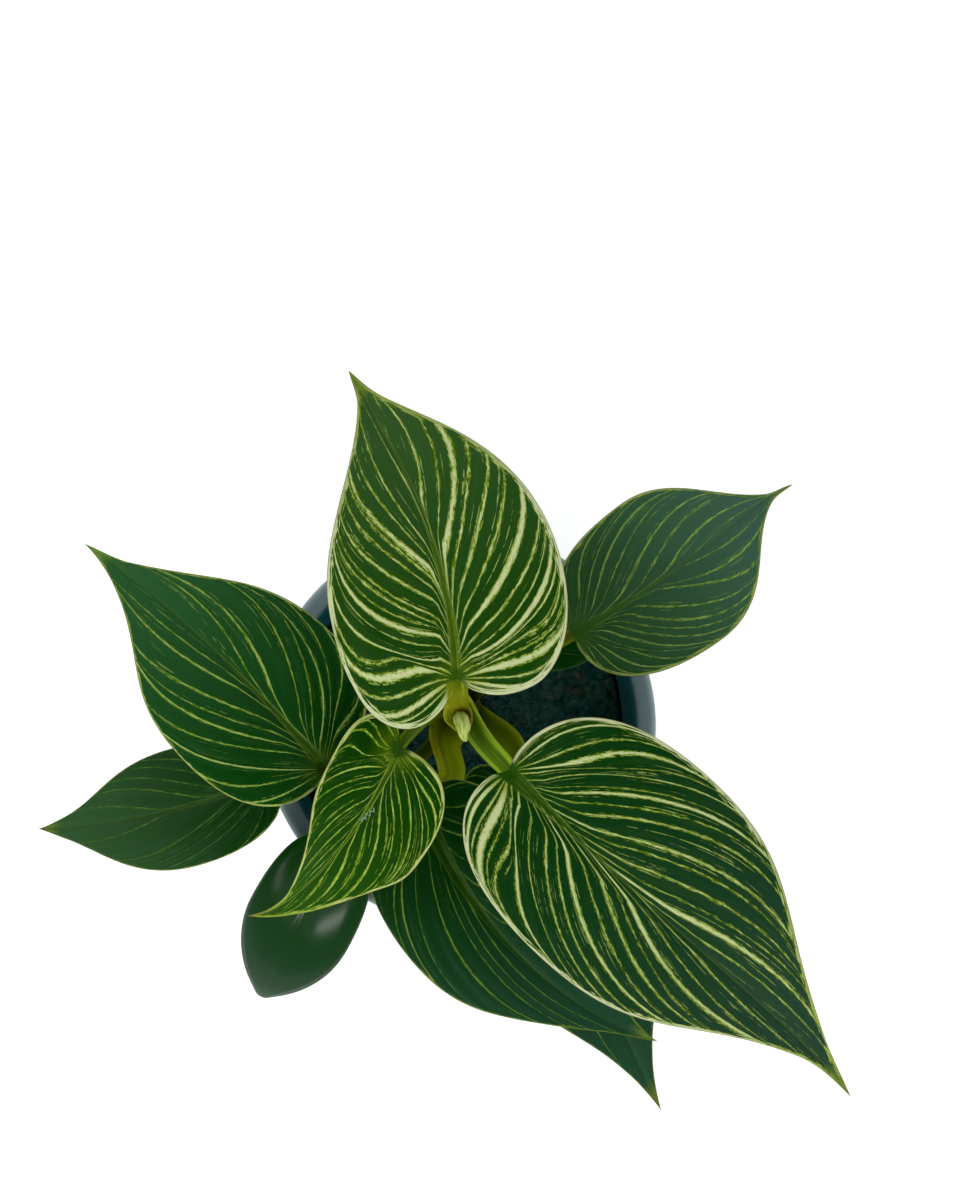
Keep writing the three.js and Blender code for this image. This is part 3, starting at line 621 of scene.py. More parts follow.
# leaf finishes: colours of each kind of leaf, and how far and how ragged its margin, midrib and blush are
# margin is its width by the stalk and at the tip; midrib is where its wedge begins and ends to fade,
# and what is left of it then; what a look doesn't give is as in commonLook
commonLook = {"pins": .66, "shift": 0.0, "relief": .8, "gloss": .05, "lines": .05}
# each look's tip colour is partly the leaf's own green and partly a painted bluish sheen
looks = {
    "cream": {
        "dark": (.005, .045, .0001), "tip": (.029, .086, .018), "streak": (.52, .59, .29),
        "thin": (.3, .4, .09), "fringe": (.105, .175, .003), "rib": (.095, .15, .001),
        "heart": (.02, .078, .0002), "base": (.36, .42, .045), "marginColor": (.54, .6, .33),
        "dry": (.2, .17, .05), "point": (.17, .26, .03), "margin": (2.0, .9), "midrib": (.15, .75, .35),
        "rag": 1.8, "strands": .25, "flank": .25, "blush": .35, "lines": .06, "pinShare": .75,
        "roughness": .42, "gloss": .03},
    "young": {
        "dark": (.0028, .041, .0001), "tip": (.015, .08, .0004), "streak": (.46, .57, .14),
        "thin": (.26, .39, .04), "fringe": (.09, .2, .003), "rib": (.12, .21, .002),
        "heart": (.012, .06, .0002), "base": (.28, .38, .02), "marginColor": (.5, .57, .18),
        "dry": (.2, .17, .03), "point": (.3, .35, .012), "margin": (.9, .8), "midrib": (.3, .85, .45),
        "rag": 1.2, "strands": .1, "flank": .8, "blush": .5, "pinShare": .65, "roughness": .4},
    "thin": {
        "dark": (.0014, .041, .0014), "tip": (.021, .098, .026), "streak": (.36, .46, .15),
        "thin": (.21, .32, .055), "fringe": (.07, .16, .004), "rib": (.06, .13, .003),
        "heart": (.012, .055, .0005), "base": (.2, .3, .03), "marginColor": (.35, .45, .12),
        "dry": (.12, .16, .02), "point": (.15, .28, .045), "margin": (.65, .55), "midrib": (.2, .65, .15),
        "rag": 1.6, "strands": .35, "flank": .35, "blush": .4, "pins": .68, "pinShare": .65,
        "roughness": .38},
    # greyer and bluer than the others: partly a painted sheen, and lightened to make up for the shade this
    # leaf sits in
    "dusky_sheen": {
        "dark": (.021, .08, .021), "tip": (.042, .102, .066), "streak": (.24, .35, .085),
        "thin": (.15, .25, .06), "fringe": (.06, .14, .022), "rib": (.032, .1, .012),
        "heart": (.025, .094, .008), "base": (.15, .23, .03), "marginColor": (.28, .38, .09),
        "dry": (.14, .14, .03), "point": (.19, .27, .085), "margin": (1.0, .75), "midrib": (.25, .75, .3),
        "rag": 1.2, "strands": .35, "flank": .25, "blush": .5, "lines": .06, "pinShare": .55,
        "roughness": .42},
    "faint": {
        "dark": (.0006, .034, .0002), "tip": (.008, .053, .021), "streak": (.17, .27, .04),
        "thin": (.1, .19, .022), "fringe": (.035, .1, .005), "rib": (.018, .058, .002),
        "heart": (.007, .048, .0004), "base": (.1, .18, .012), "marginColor": (.17, .25, .035),
        "dry": (.12, .13, .02), "point": (.13, .19, .02), "margin": (.45, .4), "midrib": (.25, .75, .3),
        "rag": 1.4, "strands": .3, "flank": .2, "blush": .2, "lines": .04, "pins": .69, "pinShare": .4,
        "shift": -0.02, "relief": .6, "roughness": .38, "gloss": .06},
    "plain": {
        "dark": (.0016, .04, .0006), "tip": (.003, .038, .007), "streak": (.05, .1, .03),
        "thin": (.03, .08, .02), "fringe": (.03, .08, .02), "rib": (.004, .045, .002),
        "heart": (.004, .043, .001), "base": (.03, .08, .02), "marginColor": (.05, .12, .025),
        "dry": (.06, .1, .02), "point": (.015, .06, .016), "margin": (.35, .35), "midrib": (.2, .7, .3),
        "rag": 1.0, "strands": 0.0, "flank": 0.0, "blush": 0.0, "lines": .02, "pins": .95, "pinShare": .2,
        "shift": -0.2, "relief": 0.0, "roughness": .17, "gloss": .1},
}
slotOf = {"cream": "striped_blade", "young": "young_blade", "thin": "striped_blade", "dusky_sheen": "striped_blade",
          "faint": "striped_blade", "plain": "plain_blade"}
scarColor = (.40, .56, .52)


def streakParts(rows):
    # every other streak goes into one set, so that tents don't meet; a few tents share a ramp
    return [rows[first::2][k:k + 3] for first in (0, 1) for k in range(0, len(rows[first::2]), 3)]


def streakStops(rows):
    # a tent for each streak, as the stops of a ramp that runs from first to last; levels are halved
    tents = [(row[1], streakLevel + streakSlope * max(streakWidths(row)) * 0.001) for row in rows]
    marks = sorted({round(t + k * g / streakSlope, 4) for t, g in tents for k in (-1, 0, 1)})
    level = [max([0] + [g - streakSlope * abs(m - t) for t, g in tents]) for m in marks]
    first, last = marks[0] - 0.002, marks[-1] + 0.002
    return first, last, [((m - first) / (last - first), v / 2) for m, v in zip(marks, level)]


def bladeTop(name, leaf, order, look):
    paint = Paint(name + "_top")
    calc, step, grain, join, coats = paint.calc, paint.step, paint.grain, paint.join, paint.coats
    uv = paint.veins()
    half = calc("GREATER_THAN", uv[0], 1.5)
    v, t = uv[0] - half * 2.0, uv[1]
    along, rib, edge = paint.place()
    less = paint.add("ShaderNodeAttribute", out=2, attribute_name="lessening")
    size = leaf["length"] / 92
    seed = half * 5.3 + 3.7 * order

    def streaky(lines, cells, detail=2.0):       # noise drawn out along the side veins
        return grain(join(t * (lines * size), v * (cells * size), seed), detail=detail)

    def about(x, amount):                        # noise around zero
        return (x - 0.5) * amount

    jag, teeth, drift = streaky(260, 20, 3), streaky(520, 48, 2), streaky(24, 5, 1)
    fleck = streaky(230, 30, 2)
    line, dash, region = streaky(150, 2.2, 1), streaky(170, 22, 2), streaky(9, 3, 1)
    level = half * 0.0
    for side, rows in enumerate(leaf["streaks"]):
        mine = (half if side else 1.0 - half) * 2.0
        for part in streakParts(rows):
            first, last, stops = streakStops(part)
            level = calc("MAXIMUM", level, paint.ramp((t - first) / (last - first), stops) * mine)
    base, taper = leaf["wedge"]
    wedge = (1.0 - along) ** taper * base + 0.22
    inward = rib / wedge                         # 0 on the midrib, 1 at the side of its wedge
    fibre = grain(join(inward * 5.0, along * 5.0, seed))
    strand = grain(join(inward * 8.0, along * 12.0, seed), detail=3.0)
    reach = ((along * leaf["length"]) ** 2.0 + rib ** 2.0) ** 0.5

    score = level + less + about(jag, 1.0) + about(drift, 0.30) + about(teeth, 0.65) + look["shift"]
    pins = line + level * 0.08 + about(region, 0.25)
    pins = step(pins, look["pins"], look["pins"] + 0.03) * step(dash, 0.42, 0.50) * step(v, 0.03, 0.12)

    # green: deep and saturated by the stalk, bluer towards the tip, with faint lines along the veins; the tip
    # colour is partly the leaf's own green and partly a painted sheen
    mottle, veins = streaky(26, 5, 4), streaky(120, 2.0, 3)
    bold = coats(
        look["thin"],
        (step(score, 0.56, 0.80), look["streak"]),
        (step(inward, 1.0, 3.0, (0.85, 0.0)), look["thin"]),                # yellower by the midrib
        (step(reach + about(jag, 4.0), 3.0, 10.0, (0.7, 0.0)), look["base"]),
        (step(fleck, 0.64, 0.69, (0.0, 0.75)), look["fringe"]))
    color = coats(
        look["dark"],
        # towards the tip: the leaf's own colour with a painted sheen
        (step(along, 0.05, 0.9), look["tip"]),
        (step(mottle, 0.35, 0.8, (0.0, 0.18)), look["tip"]),
        (step(veins, 0.48, 0.66, (0.0, look["lines"])), look["fringe"]),
        (pins * look["pinShare"], look["thin"]),
        (step(score, 0.32, 0.42), look["fringe"]),
        (step(score, 0.49, 0.54), bold),
        (step(along + about(mottle, 0.10), 0.88, 0.97), look["point"]))

    # pale margin, ragged on its inner side, with a thin dry edge
    ragged = grain(join(t * (70.0 * size), edge * 1.3, seed), detail=3.0)
    slow = grain(join(t * 9.0, 0.0, seed), detail=1.0)
    dashes = grain(join(t * (26.0 * size), edge * 2.8, seed), detail=3.0)
    rim = about(ragged, 1.2) + about(slow, 1.2) + 1.0 - edge / step(along, 0.15, 0.9, look["margin"])
    rim = rim + about(dashes, 3.4) * step(edge, 0.15, 0.6)
    rimColor = coats(
        look["marginColor"],
        (step(along + about(slow, 0.9), 0.45, 0.85), look["thin"]),
        (step(along, 0.86, 0.96), look["point"]))

    # midrib: a wedge of green with fine olive lines that draw together towards the tip
    ribColor = coats(
        look["heart"],
        (step(fibre, 0.49, 0.55), look["rib"]),
        (step(strand, 0.50, 0.62, (0.0, look["strands"])), look["thin"]),
        (step(strand, 0.44, 0.36, (0.0, 0.7)), look["heart"]),
        (step(inward, 0.30, 0.12, (0.0, 0.5)), look["heart"]))
    fadeFrom, fadeTo, faded = look["midrib"]
    beyond = rib - wedge + about(fibre, 1.6 * look["rag"]) + about(jag, 1.2 * look["rag"])
    strong = step(along + about(fibre, 0.25), fadeFrom, fadeTo, (1.0, faded))
    flank = step(1.0 - abs((inward - 1.0) * 3.0) + about(line, 1.0), 0.25, 0.7) * look["flank"]
    color = coats(
        color,
        (step(rim, 0.0, 0.16), look["fringe"]),
        (step(rim, 0.2, 0.42), rimColor),
        (step(edge, 0.10, 0.28, (0.6, 0.0)), look["dry"]),
        (step(beyond, 0.2, -0.15) * strong, ribColor),
        (flank * step(along, 0.0, 0.12), look["thin"]),
        (step(reach + about(jag, 6.0), 2.0, 10.0, (look["blush"], 0.0)), look["rib"]),
        (step(reach + about(jag, 5.0), 2.4, 3.8, (0.9, 0.0)), look["heart"]))
    if "foot" in look:                           # the notch takes on the stalk's own green
        near = along * leaf["length"] + about(fibre, 1.4)
        color = coats(color, (step(near, 0.4, -1.4) * step(rib, 3.6, 2.2), look["foot"]))
    if "scorch" in look:
        color = coats(color, (step(along + about(jag, 0.02), 0.968, 0.985), look["scorch"]))
    if "scar" in look:                           # a small pale zigzag beside the midrib of the left half
        at, out = look["scar"]
        run = (along - at) * leaf["length"]
        zigzag = (calc("PINGPONG", run + 20.0 + about(drift, 4.0), 0.85) - 0.42) * 1.5
        away = abs((1.0 - half * 2.0) * rib - out - zigzag + run * 0.3)
        mark = step(away + about(teeth, 1.1), 0.24, 0.10) * step(abs(run), 2.7, 2.2)
        color = coats(color, (mark * 0.8, scarColor))

    height = grain(paint.where(), scale=2200) * 0.15 + veins * look["relief"] + mottle * 0.4
    rough = step(score, 0.45, 0.55) * 0.05 + look["roughness"]
    return paint.finish(color, rough, (height, 0.3, 0.25), gloss=look["gloss"])


def bladeUnder(name, order, look):
    paint = Paint(name + "_under")
    step, uv, place = paint.step, paint.veins(), paint.place()
    fibre = paint.grain(paint.join(uv[1] * 60.0, uv[0] * 3.0, 1.3 * order), detail=3.0)
    pale = tuple(0.55 * a + 0.45 * b for a, b in zip(look["tip"], look["fringe"]))
    color = paint.coats(
        look["tip"],
        (step(fibre, 0.35, 0.7, (0.0, 0.7)), pale),
        (step(place[1], 0.6, 1.8, (0.8, 0.0)), look["rib"]),
        (step(place[2], 0.3, 0.5 * look["margin"][0], (0.7, 0.0)), look["marginColor"]))
    return paint.finish(color, 0.6, (fibre, 0.4, 0.2), gloss=0.3)


for order, (name, leaf) in enumerate(leaves.items()):
    look = {**commonLook, **looks[leaf["look"]], **leaf["own"]}
    buildBlade(name, leaf, order, (bladeTop(name, leaf, order, look), bladeUnder(name, order, look)))
print("leaves built")

# stalks: a sheathing foot, a channelled stalk and the keel of the midrib
# foot is the angle round the crown and the height, via the points passed, in mm
farStalk = {"green": (.060, .100, .001), "pale": (.11, .16, .003)}
stalks = {
    "leaf_1": {"foot": (100, 99), "via": ((-0.6, 7.4, 128), (-0.6, 7.2, 148)), "width": 4.6, "sheath": 6.4,
               "green": (.150, .200, .002), "pale": (.24, .30, .006)},
    "leaf_2": {"foot": (-50, 99), "via": ((0.5, 6.0, 126), (6.0, -3.7, 142.5)), "width": 6.4, "sheath": 7.2,
               "green": (.062, .150, .001), "pale": (.27, .42, .015)},
    "leaf_3": {"foot": (-160, 99), "via": ((-6, 4.4, 124), (-10.8, 0.8, 139)), "width": 3.8, "sheath": 6,
               "green": (.075, .150, .0008), "pale": (.13, .22, .002)},
    "leaf_4": {"foot": (168, 93), "via": ((-15, 3.4, 116), (-27, -4.8, 133)), "width": 4.0, "sheath": 6.5,
               "green": (.070, .115, .001), "pale": (.13, .19, .003)},
    "leaf_5": {"foot": (70, 98), "via": ((8.4, 12.6, 113), (21.5, 20.2, 128)), "width": 4.4, "sheath": 6.4,
               "green": (.115, .145, .0008), "pale": (.16, .19, .003)},
    "leaf_6": {"foot": (-116, 94), "via": ((-4.3, -4.4, 110), (-2.4, -15.6, 121)), "width": 7.6, "sheath": 14,
               "green": (.150, .215, .001), "pale": (.24, .30, .003), "crease": -0.30},
    "leaf_7": {"foot": (-175, 88), "via": ((-22, -3, 105), (-41, -10.5, 117)), "width": 3.4, "sheath": 5.5,
               **farStalk},
    "leaf_8": {"foot": (-34, 97), "via": ((7.6, 0.4, 101.5), (15.4, -6.0, 109)), "width": 8.2, "sheath": 8.6,
               "green": (.115, .165, .0008), "pale": (.20, .27, .003)},
    "leaf_9": {"foot": (82, 88), "via": ((6, 16, 99), (13, 20.8, 108)), "width": 3.0, "sheath": 5,
               **farStalk},
    "leaf_10": {"foot": (-122, 87.5), "via": ((-13, -11, 98), (-25, -25.5, 107.5)), "width": 3.4,
                "sheath": 5.5, **farStalk},
}
crown = {
    "centre": (1.0, 5.0), "rings": 72, "sides": 28,
    "blush": (.16, .050, .004), "crease": (.17, .085, .001), "joint": (.020, .078, .0004),
    "keel": (.060, .120, .020),
}


def stemRadius(z):
    return np.interp(z, [58, 86, 94, 100, 104], [6, 6, 4.9, 3.3, 1.4])


def smoothPath(points, count):
    # Catmull-Rom line through the points, how many of them are behind, and the way it runs
    p = np.array([2 * points[0] - points[1], *points, 2 * points[-1] - points[-2]])
    t = np.linspace(0, len(points) - 1, count)
    i = np.minimum(t.astype(int), len(points) - 2)
    f = (t - i)[:, None]
    a, b, c, d = p[i], p[i + 1], p[i + 2], p[i + 3]
    square, cube = 2 * a - 5 * b + 4 * c - d, 3 * b - a - 3 * c + d
    line = 0.5 * (2 * b + (c - a) * f + square * f ** 2 + cube * f ** 3)
    return line, t, unit(np.gradient(line, axis=0))


def rollUp(piece, line, side, up, x, y):
    # the sheet goes round the line and is closed at both ends
    putPlaces(piece.data, (line + side * x[:, None] + up * y[:, None]) * mm)
    mergeClose(piece)
    faceOutward(piece, fillEnds=True)
    bpy.ops.object.shade_smooth()


def buildStalk(name, leaf, stalk, material):
    angle, z = math.radians(stalk["foot"][0]), stalk["foot"][1]
    outward = np.array([math.cos(angle), math.sin(angle), 0.0])
    foot = np.array([*crown["centre"], z]) + outward * (float(stemRadius(z)) - 0.4)
    width, length = stalk["width"], leaf["length"]

    def under(x, depth):
        middle, forward, left, up = midribFrames(leaf, np.array([float(x)]))
        return middle[0] + up[0] * (-depth / 2 + 0.1 - 0.25 * (x > 5))

    stations = [                            # place, width, depth, channel
        (foot - (0, 0, 3.0), stalk["sheath"] * 0.9, 2.0, 0.45),
        (foot, stalk["sheath"], 2.6, 0.55),
        (np.array(stalk["via"][0]), 0.45 * stalk["sheath"] + 0.55 * width, min(width * 0.85, 4.2), 0.5),
        (np.array(stalk["via"][1]), width, min(width * 0.85, 4.2), 0.42),
        (under(-2.0, min(width * 0.8, 3.8)), width * 0.88, min(width * 0.78, 3.6), 0.36),
        (under(2.0, min(width * 0.6, 3.0)), width * 0.7, min(width * 0.6, 2.8), 0.2),
        (under(0.09 * length, 1.9), width * 0.55, 1.6, 0.0),
        (under(0.3 * length, 1.4), width * 0.4, 1.2, 0.0),
        (under(0.55 * length, 1.0), width * 0.28, 0.9, 0.0),
        (under(0.8 * length, 0.7), 0.7, 0.5, 0.0),
    ]
    rings = crown["rings"]
    line, t, run = smoothPath([s[0] for s in stations], rings)
    sizes = np.array([s[1:] for s in stations])
    wide, deep, channel = [np.interp(t, np.arange(len(stations)), sizes[:, k]) for k in range(3)]
    bladeUp = midribFrames(leaf, np.clip((t - 5) / 4, 0, 0.8) * length)[3]
    blend = smoothStep(t, 1.3, 4.0)[:, None]
    up = -outward * (1 - blend) + bladeUp * blend
    up = unit(up - run * np.sum(up * run, -1, keepdims=True))
    side = np.cross(up, run)

    piece, around, share = newSheet(name + "_petiole", crown["sides"], rings - 1)
    turn, i = 2 * np.pi * around, np.rint(share * (rings - 1)).astype(int)
    x = np.cos(turn)
    y = np.where(np.sin(turn) < 0, 0.5 * np.sin(turn),
                 0.36 * np.sqrt(np.clip(1 - np.abs(x) ** 8, 0, 1)) - channel[i] * (1 - x * x) ** 1.4)
    putPoints(piece.data, "place", np.stack([t[i], x, 0 * x], -1))
    rollUp(piece, line[i], side[i], up[i], x * wide[i] / 2, y * deep[i])
    settle(piece, name + "_stalk", "stalk", material)


def stalkFinish(name, order, stalk):
    paint = Paint(name + "_petiole")
    step, uv = paint.step, paint.veins()
    t, x = paint.place()[:2]
    fibre = paint.grain(paint.join(uv[0] * 34.0, uv[1] * 5.0, 2.1 * order), detail=3.0)
    cloud = paint.grain(paint.where(), scale=220, detail=3)
    edges = paint.calc("MAXIMUM", step(x, 0.40, 0.68), step(x, -0.50, -0.72))   # of the channel
    blush = step(cloud, 0.45, 0.62) * step(t, 1.6, 3.0, (1.0, 0.0)) * step(abs(x), 0.7, 0.95)
    color = paint.coats(
        stalk["green"],
        (step(fibre, 0.35, 0.75, (0.0, 0.45)), stalk["pale"]),
        (edges * 0.9, stalk["pale"]),
        (blush * 0.8, crown["blush"]))
    if "crease" in stalk:                   # reddish line where the sheath's wing ends
        crease = step(abs(x - stalk["crease"]), 0.14, 0.04) * step(t, 3.6, 3.0)
        color = paint.coats(color, (crease * 0.7, crown["crease"]))
    color = paint.coats(
        color,
        (step(t, 3.4, 4.0) * step(abs(x), 0.7, 0.4) * 0.45, crown["joint"]),
        (step(t, 4.6, 6.0) * 0.7, crown["keel"]))
    return paint.finish(color, 0.42, (fibre + cloud * 0.5, 0.3, 0.25), gloss=0.06)


for order, (name, stalk) in enumerate(stalks.items()):
    buildStalk(name, leaves[name], stalk, stalkFinish(name, order, stalk))
print("stalks built")

# collar: the youngest stalk's sheath, open to the front, out of which the bud comes
collar = {
    "centre": (0.6, 2.1), "foot": (3.0, 112), "neck": (2.1, 146),       # radius and height
    "rim": ((-62, 4.6, 144), (-40, 3.4, 147), (0, 2.9, 148.5), (35, 3.2, 149.5), (60, 3.7, 150.5),
            (74, 6.2, 155), (82, 9.0, 159.5), (90, 10.2, 161.2), (100, 10.3, 161.2), (109, 9.0, 159.5),
            (118, 7.2, 156), (132, 5.9, 151.5), (145, 5.4, 149.5), (165, 5.2, 148.5), (190, 4.7, 147.5),
            (215, 3.9, 147), (250, 4.1, 145)),                          # bearing, radius and height
    "steps": 104, "rows": 18, "wall": 0.5, "sharp": 50,
    "green": (.150, .178, .001), "pale": (.21, .24, .004), "lip": (.30, .34, .010),
    "brown": (.20, .085, .018),
}
sheath, share, up = newSheet("bud_collar", collar["steps"], collar["rows"])
bearings, radii, heights = np.array(collar["rim"], float).T
bearing = bearings[0] + (bearings[-1] - bearings[0]) * share
low, flare = smoothStep(up, 0.0, 0.45), smoothStep(up, 0.4, 1.15) / smoothStep(1.0, 0.4, 1.15)
radius = collar["foot"][0] + (collar["neck"][0] - collar["foot"][0]) * low
radius = radius + (np.interp(bearing, bearings, radii) - collar["neck"][0]) * flare
z = collar["foot"][1] + (collar["neck"][1] - collar["foot"][1]) * np.clip(up / 0.4, 0, 1)
z = z + (np.interp(bearing, bearings, heights) - collar["neck"][1]) * np.clip((up - 0.4) / 0.6, 0, 1)
turn = np.radians(bearing)
putPlaces(sheath.data, np.stack([collar["centre"][0] + radius * np.cos(turn),
                                 collar["centre"][1] + radius * np.sin(turn), z], -1) * mm)
putPoints(sheath.data, "place", np.stack([bearing / 90, up, 0 * up], -1))
applyModifier(sheath, "SOLIDIFY", thickness=collar["wall"] * mm, offset=0)
faceOutward(sheath)
paint = Paint("bud_collar")
step, uv = paint.step, paint.veins()
around, up = paint.place()[:2]
fibre = paint.grain(paint.join(uv[0] * 30.0, uv[1] * 3.0), detail=3.0)
dry = step(up, 0.70, 0.93) * step(around, 0.9, 0.5)
neck = step(up, 0.66, 0.48) * step(around, 0.3, 0.7) * step(around, 2.0, 1.5)
dry = paint.calc("MAXIMUM", dry, neck) * step(fibre, 0.30, 0.50)
color = paint.coats(
    collar["green"],
    (step(fibre, 0.35, 0.75), collar["pale"]),
    (step(up, 0.80, 0.95) * step(abs(around - 1.06), 0.35, 0.55), collar["lip"]),
    (dry * 0.7, collar["brown"]))
finish = paint.finish(color, 0.45, (fibre, 0.3, 0.2), gloss=0.06)
settle(sheath, None, "stalk", finish, sharp=collar["sharp"])
print("collar built")

# bud: the next leaf, still rolled up
bud = {
    "line": ((1, 3.8, 100), (0.8, 2.8, 122), (0.5, 2.4, 138), (0.4, 2.3, 145.5), (0.5, 1.3, 149),
             (1.1, -0.6, 150.4), (1.1, -2.4, 150.4), (1.5, -3.8, 149.8), (2.0, -4.4, 149.2)),
    "girth": (1.2, 1.6, 1.8, 2.0, 2.15, 2.0, 1.4, 0.85, 0.35),
    "rings": 60, "sides": 32,
    "pale": (.55, .645, .17), "vein": (.23, .36, .025), "foot": (.20, .30, .01),
}
spear, around, share = newSheet("rolled_bud", bud["sides"], bud["rings"] - 1)
line, t, run = smoothPath([np.array(p, float) for p in bud["line"]], bud["rings"])
side = unit(np.array([1.0, 0.0, 0.0]) - run * run[:, :1])
up = np.cross(run, side)
turn, i = 2 * np.pi * around, np.rint(share * (bud["rings"] - 1)).astype(int)
girth = np.interp(t, np.arange(len(bud["girth"])), bud["girth"])[i]
spiral = (turn + 0.22 * t[i] + 3.3) / (2 * np.pi) % 1    # the overlapping edge of the rolled blade
girth = girth * (1 + 0.06 * spiral - 0.05 * np.exp(-((spiral - 0.02) / 0.03) ** 2))
rollUp(spear, line[i], side[i], up[i], np.cos(turn) * girth, np.sin(turn) * girth)
paint = Paint("bud")
uv = paint.veins()
fibre = paint.grain(paint.join(uv[0] * 14.0, uv[1] * 4.0), detail=3.0)
spearColor = paint.mix(paint.step(fibre, 0.42, 0.66), bud["pale"], bud["vein"])
color = paint.mix(paint.step(uv[1], 0.30, 0.55), bud["foot"], spearColor)
settle(spear, "bud", "bud", paint.finish(color, 0.42, (fibre, 0.35, 0.3), gloss=0.2))
print("bud built")

# stem: a short trunk with the scars of shed leaves
stem = {
    "radius": 6, "length": 46, "middle": 81, "sides": 40, "firstCut": 59, "cuts": 45, "scarStep": 5,
    "sharp": 40,
    "green": (.13, .15, .035), "bark": (.10, .065, .025),
}
centre = np.array(crown["centre"])
deselect()
bpy.ops.mesh.primitive_cylinder_add(vertices=stem["sides"], end_fill_type="TRIFAN",
                                    radius=stem["radius"] * mm, depth=stem["length"] * mm,
                                    location=(*centre * mm, stem["middle"] * mm))
trunk = newPiece("trunk")
bpy.ops.object.transform_apply(location=True)
bpy.ops.object.mode_set(mode="EDIT")
for k in range(stem["cuts"]):
    bpy.ops.mesh.select_all(action="SELECT")
    bpy.ops.mesh.bisect(plane_co=(0, 0, (stem["firstCut"] + k) * mm), plane_no=(0, 0, 1))
bpy.ops.object.mode_set(mode="OBJECT")
co = places(trunk.data) / mm
dx, dy = (co[:, :2] - centre).T
bearing = np.arctan2(dy, dx)
scar = np.abs((co[:, 2] + 0.8 * np.sin(bearing)) % stem["scarStep"] * 2 / stem["scarStep"] - 1)
girth = stemRadius(co[:, 2]) * np.hypot(dx, dy) / stem["radius"]
girth = girth * (1 + 0.05 * scar ** 3 + 0.02 * np.sin(3 * bearing + co[:, 2]))
co[:, 0], co[:, 1] = centre[0] + girth * np.cos(bearing), centre[1] + girth * np.sin(bearing)
putPlaces(trunk.data, co * mm)
paint = Paint("trunk")
bark = paint.grain(paint.where(), scale=260, detail=5, rough=0.6)
color = paint.mix(paint.step(bark, 0.35, 0.7), stem["green"], stem["bark"])
settle(trunk, "stem", "stem", paint.finish(color, 0.6, (bark, 0.6, 0.5)), sharp=stem["sharp"])
print("stem built")

# pot: moulded plastic with a rolled lip, a stacking skirt and drain holes
pot = {
    "sides": 144, "sharp": 35,              # profile is radius and height
    "profile": [(18, 0), (20, 2.5), (33, 2.5), (35, 0), (40.6, 0), (41.5, 0.4), (42.1, 1.4), (48.2, 48),
                (54, 93), (54.6, 95.6), (56.2, 97.2), (57.5, 97.1), (58.2, 96.2), (57.9, 88.0), (58.0, 87.3),
                (58.6, 87.0), (59.2, 87.3), (59.35, 88), (59.95, 96.5), (59.9, 97.8), (59.6, 98.9),
                (59.0, 99.6), (58.2, 99.95), (57.2, 100), (55.4, 99.9), (54.6, 99.6), (54.0, 98.8),
                (53.1, 97), (52.6, 94), (46.8, 48), (41.1, 8), (39.6, 5.2), (38, 4.5)],
    "drains": 6, "drainSize": 3.5, "drainCircle": 27,                   # radii
    "drill": 14, "drillMiddle": 3, "drillSides": 24,                    # the cylinder that cuts a drain
    "slate": (.022, .060, .078), "cloud": (.036, .082, .100), "scuff": (.20, .26, .28),
    "lip": (.135, .195, .215), "lipHeight": (94.5, 97.5),               # where the lip's colour begins
    "outerRing": (.25, .32, .345), "outerRingHeight": (95, 98.5), "outerRingRadius": (57.5, 59.6),
    "inside": (.008, .082, .098), "insideHeight": (82, 84), "insideRadius": (54.6, 53.6),
}
deselect()
drainReach = pot["drainCircle"] * mm
(firstRadius, firstHeight), *profile = pot["profile"]
bpy.ops.mesh.primitive_circle_add(vertices=pot["sides"], radius=firstRadius * mm, fill_type="TRIFAN",
                                  location=(0, 0, firstHeight * mm))
shell = newPiece("pot_shell")
bpy.ops.object.transform_apply(location=True)
bpy.ops.object.mode_set(mode="EDIT")
bpy.ops.mesh.select_all(action="DESELECT")
bpy.ops.mesh.select_mode(type="EDGE")
bpy.ops.mesh.select_non_manifold()
for (r0, z0), (r1, z1) in zip(pot["profile"], profile):
    bpy.ops.mesh.extrude_edges_move(TRANSFORM_OT_translate={"value": (0, 0, (z1 - z0) * mm)})
    bpy.ops.transform.resize(value=(r1 / r0, r1 / r0, 1), center_override=(0, 0, z1 * mm))
bpy.ops.mesh.edge_face_add()
bpy.ops.mesh.poke()
bpy.ops.mesh.select_mode(type="VERT")
faceOutward(shell)
for k in range(pot["drains"]):
    angle = (k + 0.5) * 2 * math.pi / pot["drains"]
    deselect()
    bpy.ops.mesh.primitive_cylinder_add(vertices=pot["drillSides"], radius=pot["drainSize"] * mm,
                                        depth=pot["drill"] * mm,
                                        location=(drainReach * math.cos(angle), drainReach * math.sin(angle),
                                                  pot["drillMiddle"] * mm))
    drill = bpy.context.object
    applyModifier(shell, "BOOLEAN", object=drill, operation="DIFFERENCE", solver="EXACT")
    bpy.data.objects.remove(drill)
paint = Paint("pot")
step, where = paint.step, paint.where()
band = {key: [a * mm for a in value] for key, value in pot.items() if key.endswith(("Height", "Radius"))}
x, y, z = paint.split(where)
cloud = paint.grain(where, scale=60, detail=4)
speck = paint.grain(where, scale=900)
scuff = paint.grain(paint.join(x * 500.0, y * 60.0, z * 500.0), detail=3.0)
radius = (x ** 2.0 + y ** 2.0) ** 0.5
color = paint.coats(
    pot["slate"],
    (step(cloud, 0.35, 0.7), pot["cloud"]),
    (step(z, *band["lipHeight"]), pot["lip"]),
    (step(scuff, 0.62, 0.78, (0.0, 0.16)), pot["scuff"]),
    # lighter ring round the outer edge of the lip
    (step(radius, *band["outerRingRadius"]) * step(z, *band["outerRingHeight"]) * 0.7, pot["outerRing"]),
    (step(radius, *band["insideRadius"]) * step(z, *band["insideHeight"]), pot["inside"]))
